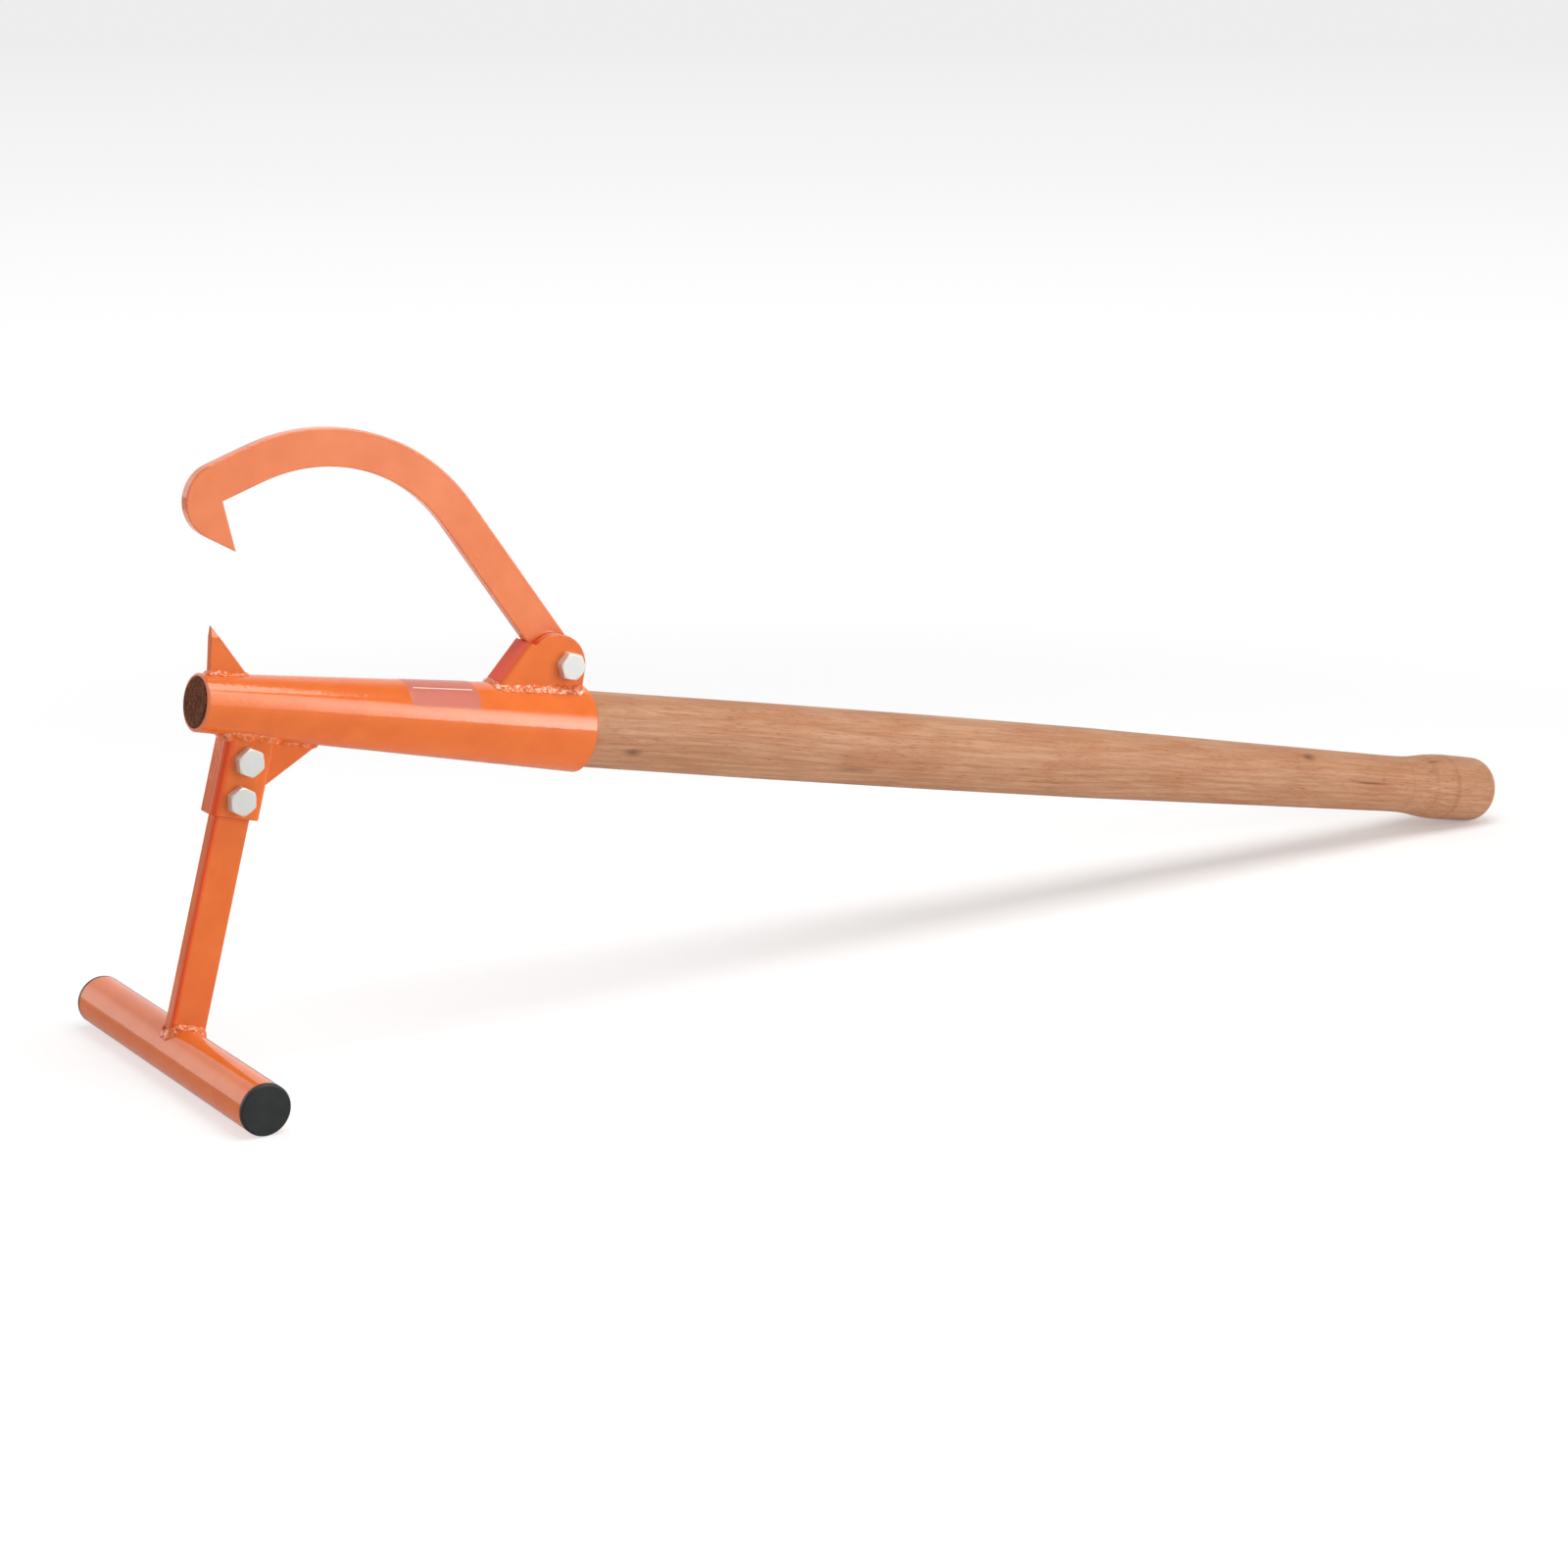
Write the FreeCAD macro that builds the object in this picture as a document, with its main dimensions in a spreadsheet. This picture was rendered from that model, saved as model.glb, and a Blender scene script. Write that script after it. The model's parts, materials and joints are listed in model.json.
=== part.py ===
import FreeCAD, Part
import math
import os
import Sketcher

# A log lifter: a wooden handle driven into a tapered steel socket, a swinging hook and a fixed
# spike that bite the log, and a bolted leg with a foot tube on which the tool rocks.
# The pieces are drawn in the tool's own frame, in millimetres: X runs from the socket's mouth
# along the handle, Z is square to it and Y across. One placement then leans the tool until the
# foot tube and the butt of the handle both lie on the floor, with the foot tube over the origin.

SIZES = [
    # The tapered socket and the handle
    ("sleeve_length", 280.0, "steel socket, mouth to rear rim"),
    ("mouth_radius", 18.7, "outside of the socket at its mouth"),
    ("rim_radius", 29.5, "outside of the socket at its rear rim"),
    ("sleeve_wall", 2.2, "wall of the socket"),
    ("rim_bevel", 0.8, "bevel on the rims of the socket"),
    ("tool_length", 1140.0, "mouth of the socket to the butt of the handle"),
    ("wood_proud", 1.0, "handle's end ahead of the mouth, and the bevel on it"),
    ("wood_gap", 0.15, "room between wood and steel at the mouth"),
    ("grip_radius", 25.7, "handle at the socket's rear rim"),
    ("belly_length", 447.0, "belly of the handle behind the socket"),
    ("belly_end_radius", 26.1, "handle where its belly ends"),
    ("belly_rise", 0.8, "crown of the belly over its chord"),
    ("neck_to_butt", 97.0, "narrowest neck to the butt"),
    ("neck_radius", 22.1, "handle at its neck"),
    ("knob_to_butt", 46.0, "knob's widest ring to the butt"),
    ("knob_radius", 26.0, "knob at its widest ring"),
    ("butt_radius", 25.4, "knob where its end rounding starts"),
    ("butt_rounding", 12.4, "rounding of the handle's end"),
    # The spike
    ("spike_station", 5.9, "foot of the spike's front edge"),
    ("spike_base", 25.9, "length of the spike along the socket"),
    ("spike_rise", 30.4, "point of the spike over the socket"),
    ("spike_lead", 2.3, "point of the spike ahead of its foot"),
    ("spike_plate", 5.0, "thickness of the spike"),
    ("spike_grind", 7.0, "length of the ground flank below the point"),
    ("spike_point", 1.2, "thickness left at the point"),
    # The hook and its pivot
    ("pivot_inset", 19.5, "pivot bolt ahead of the socket's rear rim"),
    ("pivot_rise", 43.9, "pivot bolt over the handle's axis"),
    ("hook_width", 24.6, "width of the hook's bar"),
    ("hook_plate", 8.0, "thickness of the hook"),
    ("arm_slope", 43.5, "slope of the hook's arm at rest, in degrees"),
    ("arm_length", 133.4, "pivot to the start of the hook's bend"),
    ("bend_radius", 124.0, "middle line of the hook's bend"),
    ("nose_slope", 30.0, "slope of the hook's nose at rest, in degrees"),
    ("nose_length", 29.0, "end of the bend to the throat"),
    ("tooth_length", 33.5, "throat to the tip of the tooth"),
    ("tooth_lean", 24.3, "lean of the tooth at rest, in degrees"),
    ("hook_edge", 0.7, "rounding of the hook's edges"),
    ("hook_running_gap", 0.08, "radial play of the hook on its bolt"),
    ("rest_gap", 0.3, "hook over the bracket's web at rest"),
    # The bent bracket that carries the hook
    ("bracket_plate", 6.0, "plate of the bracket"),
    ("bracket_play", 1.0, "room beside the hook, each side"),
    ("bracket_bend", 2.5, "outer rounding of the bracket's bends"),
    ("web_lead", 50.2, "foot of the sloping front web ahead of the bolt"),
    ("web_slope", 58.0, "slope of the front web, in degrees"),
    ("ear_radius", 22.5, "round top of the ears"),
    ("ear_lead", 9.8, "centre of the ears' round ahead of the bolt"),
    ("ear_drop", 2.3, "centre of the ears' round below the bolt"),
    ("ear_shoulder", 37.3, "angle above level at which the round starts, in degrees"),
    # The leg, its socket and the gusset
    ("leg_station", 37.9, "leg's middle line on the socket's underside"),
    ("leg_rake", 3.85, "lean of the leg from square to the handle's axis, in degrees"),
    ("leg_width", 25.0, "leg bar, along the tool"),
    ("leg_depth", 10.0, "leg bar, across the tool"),
    ("leg_corner", 1.5, "rounding of the leg bar's corners"),
    ("leg_play", 0.4, "room between leg and leg socket, each side"),
    ("leg_top_gap", 3.0, "top of the leg below the tapered socket"),
    ("collar_wall", 4.4, "wall of the leg socket"),
    ("collar_corner", 4.4, "rounding of the leg socket's corners"),
    ("upper_bolt_drop", 13.7, "upper leg bolt below the tapered socket, clear of the weld"),
    ("leg_bolt_inset", 12.0, "lower leg bolt over the leg socket's end"),
    ("leg_bolt_pitch", 25.3, "spacing of the leg bolts"),
    ("gusset_plate", 5.0, "thickness of the gusset"),
    ("gusset_reach", 30.6, "gusset behind the leg socket"),
    ("gusset_drop", 30.6, "gusset down the leg socket"),
    ("gusset_tip", 1.8, "blunt end of the gusset"),
    # The foot
    ("foot_drop", 208.1, "foot tube's axis below the tapered socket"),
    ("foot_radius", 16.85, "outside of the foot tube"),
    ("foot_wall", 2.0, "wall of the foot tube"),
    ("foot_length", 249.0, "foot tube without its caps"),
    ("cap_face", 3.2, "cap outside the tube's end"),
    ("cap_edge", 1.6, "rounding of the cap's edge"),
    ("cap_plug", 14.0, "depth of the cap's plug in the tube"),
    ("cap_wall", 2.0, "wall of the cap's plug"),
    ("cap_gap", 0.1, "room between the plug and the tube"),
    # The fasteners
    ("bolt_radius", 5.0, "shank of the bolts"),
    ("bolt_length", 35.0, "bolts under the head"),
    ("bolt_flats", 17.0, "width of heads and nuts across their flats"),
    ("head_rise", 6.4, "height of the bolt heads"),
    ("nut_rise", 10.0, "height of the lock nuts"),
    ("nut_collar", 3.0, "height of the lock nut's round collar"),
    ("nut_collar_radius", 7.3, "outside of the lock nut's round collar"),
    ("nut_lip", 0.8, "lip of the collar over its nylon ring"),
    ("ring_radius", 6.3, "outside of the nylon ring"),
    ("thread_gap", 0.05, "play of the nut on the bolt"),
    ("bolt_hole_play", 0.4, "room round the bolts in the fixed plates"),
    ("end_bevel", 1.0, "bevel on the bolts' ends"),
    ("head_face_share", 0.95, "round face of heads and nuts, as a share of their flats"),
    ("head_bevel", 30.0, "slope of the bevel round that face, in degrees"),
    ("pivot_turn", 3.5, "turn of the pivot bolt's hexagon, in degrees"),
    ("upper_leg_turn", 14.7, "turn of the upper leg bolt's hexagon, in degrees"),
    ("lower_leg_turn", 19.0, "turn of the lower leg bolt's hexagon, in degrees"),
    # The weld beads
    ("spike_bead", 3.5, "weld round the spike"),
    ("bracket_bead", 5.0, "weld round the bracket"),
    ("collar_bead", 4.5, "weld round the leg socket"),
    ("gusset_bead", 3.0, "weld along the gusset"),
    ("foot_bead", 5.0, "weld round the leg's foot"),
    ("bead_bevel_share", 0.75, "bevel of a bead, as a share of its height"),
    # One overrun serves all cuts
    ("overrun", 10.0, "reach of a cutting tool past the metal"),
]

# Share by which two sizes may differ and still count as the same
SAME = 1e-4

# Lengths and angles that follow from the sizes; angles are in degrees
FORMULAS = [
    ("flare", "atan((rim_radius - mouth_radius) / sleeve_length) / 1deg"),
    ("belly_end", "sleeve_length + belly_length"),
    ("belly_curve", "belly_length ^ 2 / (8 * belly_rise) + belly_rise / 2"),
    ("neck_station", "tool_length - neck_to_butt"),
    ("knob_station", "tool_length - knob_to_butt"),
    ("knob_turn", "2 * atan((knob_radius - neck_radius) / (knob_station - neck_station)) / 1deg"),
    ("knob_curve", "(knob_station - neck_station) / sin(knob_turn) / 2"),
    ("crown_run", "knob_to_butt - butt_rounding"),
    ("crown_curve", "(crown_run ^ 2 / (knob_radius - butt_radius) + knob_radius - butt_radius) / 2"),
    ("spike_foot", "mouth_radius + spike_station * tan(flare)"),
    ("half_hook", "hook_width / 2"),
    ("pivot_station", "sleeve_length - pivot_inset"),
    ("web_station", "pivot_station - web_lead"),
    ("bend_x", "pivot_station - arm_length * cos(arm_slope) - bend_radius * sin(arm_slope)"),
    ("bend_z", "pivot_rise + arm_length * sin(arm_slope) - bend_radius * cos(arm_slope)"),
    ("throat_x", "bend_x - (bend_radius - half_hook) * sin(nose_slope) - nose_length * cos(nose_slope)"),
    ("throat_z", "bend_z + (bend_radius - half_hook) * cos(nose_slope) - nose_length * sin(nose_slope)"),
    ("cheek_turn", "tooth_lean - 90 - acos(hook_width / tooth_length) / 1deg"),
    ("half_slot", "hook_plate / 2 + bracket_play"),
    ("half_bracket", "half_slot + bracket_plate"),
    ("web_foot", "mouth_radius + web_station * tan(flare)"),
    ("rest_line", "pivot_station * sin(arm_slope) + pivot_rise * cos(arm_slope) - half_hook - rest_gap"),
    ("web_run", "(rest_line - web_station * sin(arm_slope) - web_foot * cos(arm_slope))"
                " / sin(arm_slope + web_slope)"),
    ("web_top_x", "web_station + web_run * cos(web_slope)"),
    ("web_top_z", "web_foot + web_run * sin(web_slope)"),
    ("slot_foot", "web_station + bracket_plate / sin(web_slope)"),
    ("slot_run", "(rest_line - slot_foot * sin(arm_slope) - web_foot * cos(arm_slope))"
                 " / sin(arm_slope + web_slope)"),
    ("slot_top_x", "slot_foot + slot_run * cos(web_slope)"),
    ("slot_top_z", "web_foot + slot_run * sin(web_slope)"),
    ("ear_x", "pivot_station - ear_lead"),
    ("ear_z", "pivot_rise - ear_drop"),
    ("leg_root", "mouth_radius + leg_station * tan(flare)"),
    ("collar_width", "leg_width + 2 * (leg_play + collar_wall)"),
    ("collar_depth", "leg_depth + 2 * (leg_play + collar_wall)"),
    ("lower_bolt_drop", "upper_bolt_drop + leg_bolt_pitch"),
    ("collar_length", "lower_bolt_drop + leg_bolt_inset"),
    ("gusset_end", "leg_station + collar_width / 2 + gusset_reach"),
    ("foot_x", "leg_station - foot_drop * sin(leg_rake)"),
    ("foot_z", "-leg_root - foot_drop * cos(leg_rake)"),
    ("butt_x", "tool_length - butt_rounding"),
    ("butt_z", "-(butt_radius - butt_rounding)"),
    ("lean", "(atan((butt_z - foot_z) / (butt_x - foot_x))"
             " + asin((foot_radius - butt_rounding) / hypot(butt_x - foot_x; butt_z - foot_z))) / 1deg"),
    ("hole_radius", "bolt_radius + bolt_hole_play"),
    ("corner_radius", "bolt_flats / 2 / cos(30)"),
]

doc = FreeCAD.newDocument("LogLifter")

sheet = doc.addObject("Spreadsheet::Sheet", "Sizes")
for row, (alias, value, meaning) in enumerate(SIZES, start=1):
    sheet.set("A%d" % row, meaning)
    sheet.set("B%d" % row, str(value))
    sheet.setAlias("B%d" % row, alias)
doc.recompute()

derived = doc.addObject("App::VarSet", "Derived")

# Each size name with the object that holds it, longest names first so that none hides in another
owner = {alias: "Sizes" for alias, value, meaning in SIZES}
owner.update({name: "Derived" for name, formula in FORMULAS})


def full(formula):
    """The formula with the holding object's name put before each size name."""
    words = []
    word = ""
    for letter in formula + " ":
        if letter.isalnum() or letter == "_":
            word += letter
            continue
        words.append(owner[word] + "." + word if word in owner else word)
        words.append(letter)
        word = ""
    return "".join(words).strip()


for name, formula in FORMULAS:
    derived.addProperty("App::PropertyFloat", name, "Derived", formula)
    derived.setExpression(name, full(formula))
doc.recompute()


def value_of(formula):
    """The number that a formula gives with the sizes as they are."""
    return float(sheet.evalExpression(full(str(formula))))


def new_body(label):
    body = doc.addObject("PartDesign::Body", label)
    body.Label = label
    return body


def new_sketch(body, name, role, x="0", y="0", z="0", tilt="0", axis=(0, 1, 0)):
    """An empty sketch on one of the body's own planes, shifted and tilted as the formulas say."""
    plane = next(feature for feature in body.Origin.OriginFeatures if feature.Role == role)
    sketch = body.newObject("Sketcher::SketchObject", body.Label + "_" + name)
    sketch.AttachmentSupport = [(plane, "")]
    sketch.MapMode = "FlatFace"
    sketch.AttachmentOffset = FreeCAD.Placement(
        FreeCAD.Vector(value_of(x), value_of(y), value_of(z)),
        FreeCAD.Rotation(FreeCAD.Vector(*axis), value_of(tilt)))
    for part_name, formula in (("x", x), ("y", y), ("z", z)):
        sketch.setExpression("AttachmentOffset.Base." + part_name, full(formula))
    if tilt != "0":
        sketch.setExpression("AttachmentOffset.Rotation.Angle", full(tilt))
    return sketch


def pin_point(sketch, geometry, end, point):
    """Holds one end of a line or arc at the two formulas of a point."""
    for kind, formula in zip(("DistanceX", "DistanceY"), point):
        index = sketch.addConstraint(Sketcher.Constraint(kind, -1, 1, geometry, end, value_of(formula)))
        sketch.setExpression("Constraints[%d]" % index, full(formula))


def arc_between(start, end, radius):
    """The short arc from start to end; a positive radius turns left, a negative one right."""
    middle = (start + end) * 0.5
    half = (end - start).Length / 2
    side = FreeCAD.Vector(start.y - end.y, end.x - start.x, 0).normalize()
    sag = abs(radius) - math.sqrt(max(radius * radius - half * half, 0))
    return Part.Arc(start, middle - side * math.copysign(sag, radius), end)


def draw_outline(sketch, corners):
    """Closed outline through corners: each is two formulas and, before an arc, its signed radius."""
    points = [FreeCAD.Vector(value_of(corner[0]), value_of(corner[1]), 0) for corner in corners]
    tail = []
    for index, corner in enumerate(corners):
        start, end = points[index], points[(index + 1) % len(corners)]
        if len(corner) == 3:
            geometry = sketch.addGeometry(arc_between(start, end, value_of(corner[2])), False)
            radius = sketch.addConstraint(
                Sketcher.Constraint("Radius", geometry, abs(value_of(corner[2]))))
            sketch.setExpression("Constraints[%d]" % radius, "abs(" + full(corner[2]) + ")")
            leftward = value_of(corner[2]) > 0
            head, foot = (1, 2) if leftward else (2, 1)
        else:
            geometry = sketch.addGeometry(Part.LineSegment(start, end), False)
            head, foot = 1, 2
        pin_point(sketch, geometry, head, corner)
        if tail:
            sketch.addConstraint(Sketcher.Constraint("Coincident", tail[0], tail[1], geometry, head))
        else:
            opening = (geometry, head)
        tail = (geometry, foot)
    sketch.addConstraint(Sketcher.Constraint("Coincident", tail[0], tail[1], opening[0], opening[1]))


def draw_circle(sketch, x, y, radius):
    centre = FreeCAD.Vector(value_of(x), value_of(y), 0)
    geometry = sketch.addGeometry(Part.Circle(centre, FreeCAD.Vector(0, 0, 1), value_of(radius)), False)
    pin_point(sketch, geometry, 3, (x, y))
    index = sketch.addConstraint(Sketcher.Constraint("Radius", geometry, value_of(radius)))
    sketch.setExpression("Constraints[%d]" % index, full(radius))


def draw_box(sketch, width, depth, corner):
    """A rectangle about the sketch's origin, its corners rounded."""
    x, y, r = "(%s) / 2" % width, "(%s) / 2" % depth, "(%s)" % corner
    draw_outline(sketch, [
        ("%s - %s" % (x, r), "-%s" % y, r), (x, "%s - %s" % (r, y)),
        (x, "%s - %s" % (y, r), r), ("%s - %s" % (x, r), y),
        ("%s - %s" % (r, x), y, r), ("-%s" % x, "%s - %s" % (y, r)),
        ("-%s" % x, "%s - %s" % (r, y), r), ("%s - %s" % (r, x), "-%s" % y)])


def add_pad(body, sketch, length, midplane=False, reverse=False, taper=None):
    pad = body.newObject("PartDesign::Pad", sketch.Name + "_pad")
    pad.Profile = sketch
    pad.Midplane = midplane
    pad.Reversed = reverse
    pad.setExpression("Length", full(length))
    if taper:
        pad.setExpression("TaperAngle", full(taper))
    sketch.Visibility = False
    doc.recompute()
    return pad


def check_cut(body, before, name):
    """A cut that points away from the metal removes nothing and shows no error, so it is compared."""
    if body.Shape.Volume >= before * (1 - SAME):
        raise RuntimeError(name + " cut nothing from " + body.Label)


def add_pocket(body, sketch, length=None, midplane=False, reverse=False):
    before = body.Shape.Volume
    pocket = body.newObject("PartDesign::Pocket", sketch.Name + "_pocket")
    pocket.Profile = sketch
    pocket.Midplane = midplane
    pocket.Reversed = reverse
    if length:
        pocket.setExpression("Length", full(length))
    else:
        pocket.Type = "ThroughAll"
    sketch.Visibility = False
    doc.recompute()
    check_cut(body, before, sketch.Name)
    return pocket


def add_revolution(body, sketch):
    turned = body.newObject("PartDesign::Revolution", sketch.Name + "_turned")
    turned.Profile = sketch
    turned.ReferenceAxis = (sketch, ["H_Axis"])
    turned.Angle = 360
    sketch.Visibility = False
    doc.recompute()
    return turned


def add_groove(body, sketch):
    before = body.Shape.Volume
    groove = body.newObject("PartDesign::Groove", sketch.Name + "_groove")
    groove.Profile = sketch
    groove.ReferenceAxis = (sketch, ["H_Axis"])
    groove.Angle = 360
    sketch.Visibility = False
    doc.recompute()
    check_cut(body, before, sketch.Name)
    return groove


def round_edges(body, size, wanted, kind="PartDesign::Fillet", field="Radius"):
    """Rounds or bevels the edges of the body's last feature for which the test wanted() is true."""
    base = body.Tip
    names = ["Edge%d" % (index + 1) for index, edge in enumerate(base.Shape.Edges) if wanted(edge)]
    if not names:
        raise RuntimeError("no edge to round on " + body.Label)
    dressing = body.newObject(kind, body.Label + "_dressing%d" % len(body.Group))
    dressing.Base = (base, names)
    dressing.setExpression(field, full(size))
    doc.recompute()
    return dressing


def flank(station, rise):
    """Height over the tool's axis of a point over the socket's flank, as a formula."""
    return "mouth_radius + (%s) * tan(flare) + (%s)" % (station, rise)


def flank_cut(body, name, low, high):
    """Cuts away all that lies between two heights over the socket's flank, all the way round."""
    sketch = new_sketch(body, name, "XZ_Plane")
    front, back = "-overrun", "sleeve_length + overrun"
    draw_outline(sketch, [
        (front, low(front)), (back, low(back)), (back, high(back)), (front, high(front))])
    add_groove(body, sketch)


def saddle_cut(body):
    """Cuts the piece to the outside of the tapered socket, so that it seats on it."""
    flank_cut(body, "saddle", lambda station: "0", lambda station: flank(station, "0"))


def leg_point(along, drop):
    """A point of the leg's own grid: along the tool from the leg's middle line, and down the leg."""
    return ("leg_station + (%s) * cos(leg_rake) - (%s) * sin(leg_rake)" % (along, drop),
            "-leg_root - (%s) * sin(leg_rake) - (%s) * cos(leg_rake)" % (along, drop))


def leg_sketch(body, name, drop="0"):
    """A sketch square to the leg, at a distance down its middle line."""
    x, z = leg_point("0", drop)
    return new_sketch(body, name, "XY_Plane", x=x, z=z, tilt="leg_rake")


def tool_frame():
    """Leans the tool so that foot tube and butt touch the floor, the tube's axis over the origin."""
    turn = FreeCAD.Rotation(FreeCAD.Vector(0, 1, 0), derived.lean)
    foot = turn.multVec(FreeCAD.Vector(derived.foot_x, 0, derived.foot_z))
    return FreeCAD.Placement(FreeCAD.Vector(-foot.x, 0, sheet.foot_radius - foot.z), turn)


def at_tool_point(body, x="0", y="0", z="0", turn="0"):
    """Places a piece with its origin at a point of the tool, turned about the cross direction."""
    place = FreeCAD.Placement(
        FreeCAD.Vector(value_of(x), value_of(y), value_of(z)),
        FreeCAD.Rotation(FreeCAD.Vector(0, 1, 0), value_of(turn)))
    body.Placement = tool_frame().multiply(place)


def make_handle():
    """Turned hardwood handle: a taper in the socket, a long belly, a neck and a round knob."""
    body = new_body("handle")
    sketch = new_sketch(body, "profile", "XZ_Plane")
    draw_outline(sketch, [
        ("-wood_proud", "0"), ("tool_length", "0"),
        ("tool_length", "butt_radius - butt_rounding", "butt_rounding"),
        ("butt_x", "butt_radius", "crown_curve"),
        ("knob_station", "knob_radius", "knob_curve"),
        ("(neck_station + knob_station) / 2", "(neck_radius + knob_radius) / 2", "-knob_curve"),
        ("neck_station", "neck_radius"),
        ("belly_end", "belly_end_radius", "belly_curve"),
        ("sleeve_length", "grip_radius"),
        ("0", "mouth_radius - sleeve_wall - wood_gap"),
        ("-wood_proud", "mouth_radius - sleeve_wall - wood_gap - wood_proud")])
    add_revolution(body, sketch)
    at_tool_point(body)
    return body


def make_sleeve():
    """Tapered steel socket, an open cone frustum of even wall with bevelled rims."""
    body = new_body("sleeve")
    sketch = new_sketch(body, "profile", "XZ_Plane")
    draw_outline(sketch, [
        ("0", "mouth_radius - sleeve_wall"),
        ("sleeve_length", "rim_radius - sleeve_wall"),
        ("sleeve_length", "rim_radius - rim_bevel"),
        ("sleeve_length - rim_bevel", "rim_radius - rim_bevel * tan(flare)"),
        ("rim_bevel", "mouth_radius + rim_bevel * tan(flare)"),
        ("0", "mouth_radius - rim_bevel")])
    add_revolution(body, sketch)
    at_tool_point(body)
    return body


def spike_outline():
    """The spike's side, square to the socket's flank, with its foot sunk for the saddle cut."""
    def at(along, rise):
        return ("spike_station + (%s) * cos(flare) - (%s) * sin(flare)" % (along, rise),
                "spike_foot + (%s) * sin(flare) + (%s) * cos(flare)" % (along, rise))
    return [at("0", "-overrun / 2"), at("spike_base", "-overrun / 2"), at("spike_base", "0"),
            at("-spike_lead", "spike_rise"), at("0", "0")]


def make_spike():
    """Fixed tooth over the mouth: a three-cornered plate, its point ground thin on both flanks."""
    body = new_body("spike")
    side = new_sketch(body, "side", "XZ_Plane")
    draw_outline(side, spike_outline())
    add_pad(body, side, "spike_plate", midplane=True)
    grind = new_sketch(body, "grind", "YZ_Plane")
    top = "spike_foot + spike_rise + overrun"
    tip = "spike_foot + spike_rise * cos(flare)"
    heel = tip + " - spike_grind"
    for sign in ("", "-"):
        order = [(sign + "spike_plate / 2", heel), (sign + "(spike_plate / 2 + overrun)", heel),
                 (sign + "(spike_plate / 2 + overrun)", top), (sign + "spike_point / 2", top),
                 (sign + "spike_point / 2", tip)]
        draw_outline(grind, order)
    add_pocket(body, grind, midplane=True)
    saddle_cut(body)
    at_tool_point(body)
    return body


def bracket_outline():
    """Side of the bent bracket: sloping web in front, ears with a round top, foot sunk."""
    sunk = "web_foot - overrun"
    return [
        ("web_station - overrun / tan(web_slope)", sunk),
        ("ear_x + ear_radius", sunk),
        ("ear_x + ear_radius", "ear_z", "ear_radius"),
        ("ear_x - ear_radius * cos(ear_shoulder)", "ear_z + ear_radius * sin(ear_shoulder)"),
        ("web_top_x", "web_top_z")]


def slot_outline():
    """The room between the ears: behind the web, and above the underside of the resting hook."""
    return [
        ("slot_foot - 2 * overrun / tan(web_slope)", "web_foot - 2 * overrun"),
        ("ear_x + ear_radius + overrun", "web_foot - 2 * overrun"),
        ("ear_x + ear_radius + overrun", "web_top_z + ear_radius + overrun"),
        ("web_top_x - ear_radius", "web_top_z + ear_radius + overrun"),
        ("web_top_x - overrun * cos(arm_slope)", "web_top_z + overrun * sin(arm_slope)"),
        ("slot_top_x", "slot_top_z")]


def make_hook_bracket():
    """One plate bent to a sloping web and two ears, welded astride the top of the socket."""
    body = new_body("hook_bracket")
    side = new_sketch(body, "side", "XZ_Plane")
    draw_outline(side, bracket_outline())
    add_pad(body, side, "2 * half_bracket", midplane=True)
    along_web = FreeCAD.Vector(math.cos(math.radians(value_of("web_slope"))), 0,
                               math.sin(math.radians(value_of("web_slope"))))
    half = value_of("half_bracket")
    round_edges(body, "bracket_bend", lambda edge: abs(abs(edge.CenterOfMass.y) - half) < half * SAME
                and edge.Curve.TypeId == "Part::GeomLine"
                and abs(edge.Curve.Direction.dot(along_web)) > 1 - SAME)
    slot = new_sketch(body, "slot", "XZ_Plane")
    draw_outline(slot, slot_outline())
    add_pocket(body, slot, "2 * half_slot", midplane=True)
    bore = new_sketch(body, "bore", "XZ_Plane")
    draw_circle(bore, "pivot_station", "pivot_rise", "hole_radius")
    add_pocket(body, bore, midplane=True)
    saddle_cut(body)
    at_tool_point(body)
    return body


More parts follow.
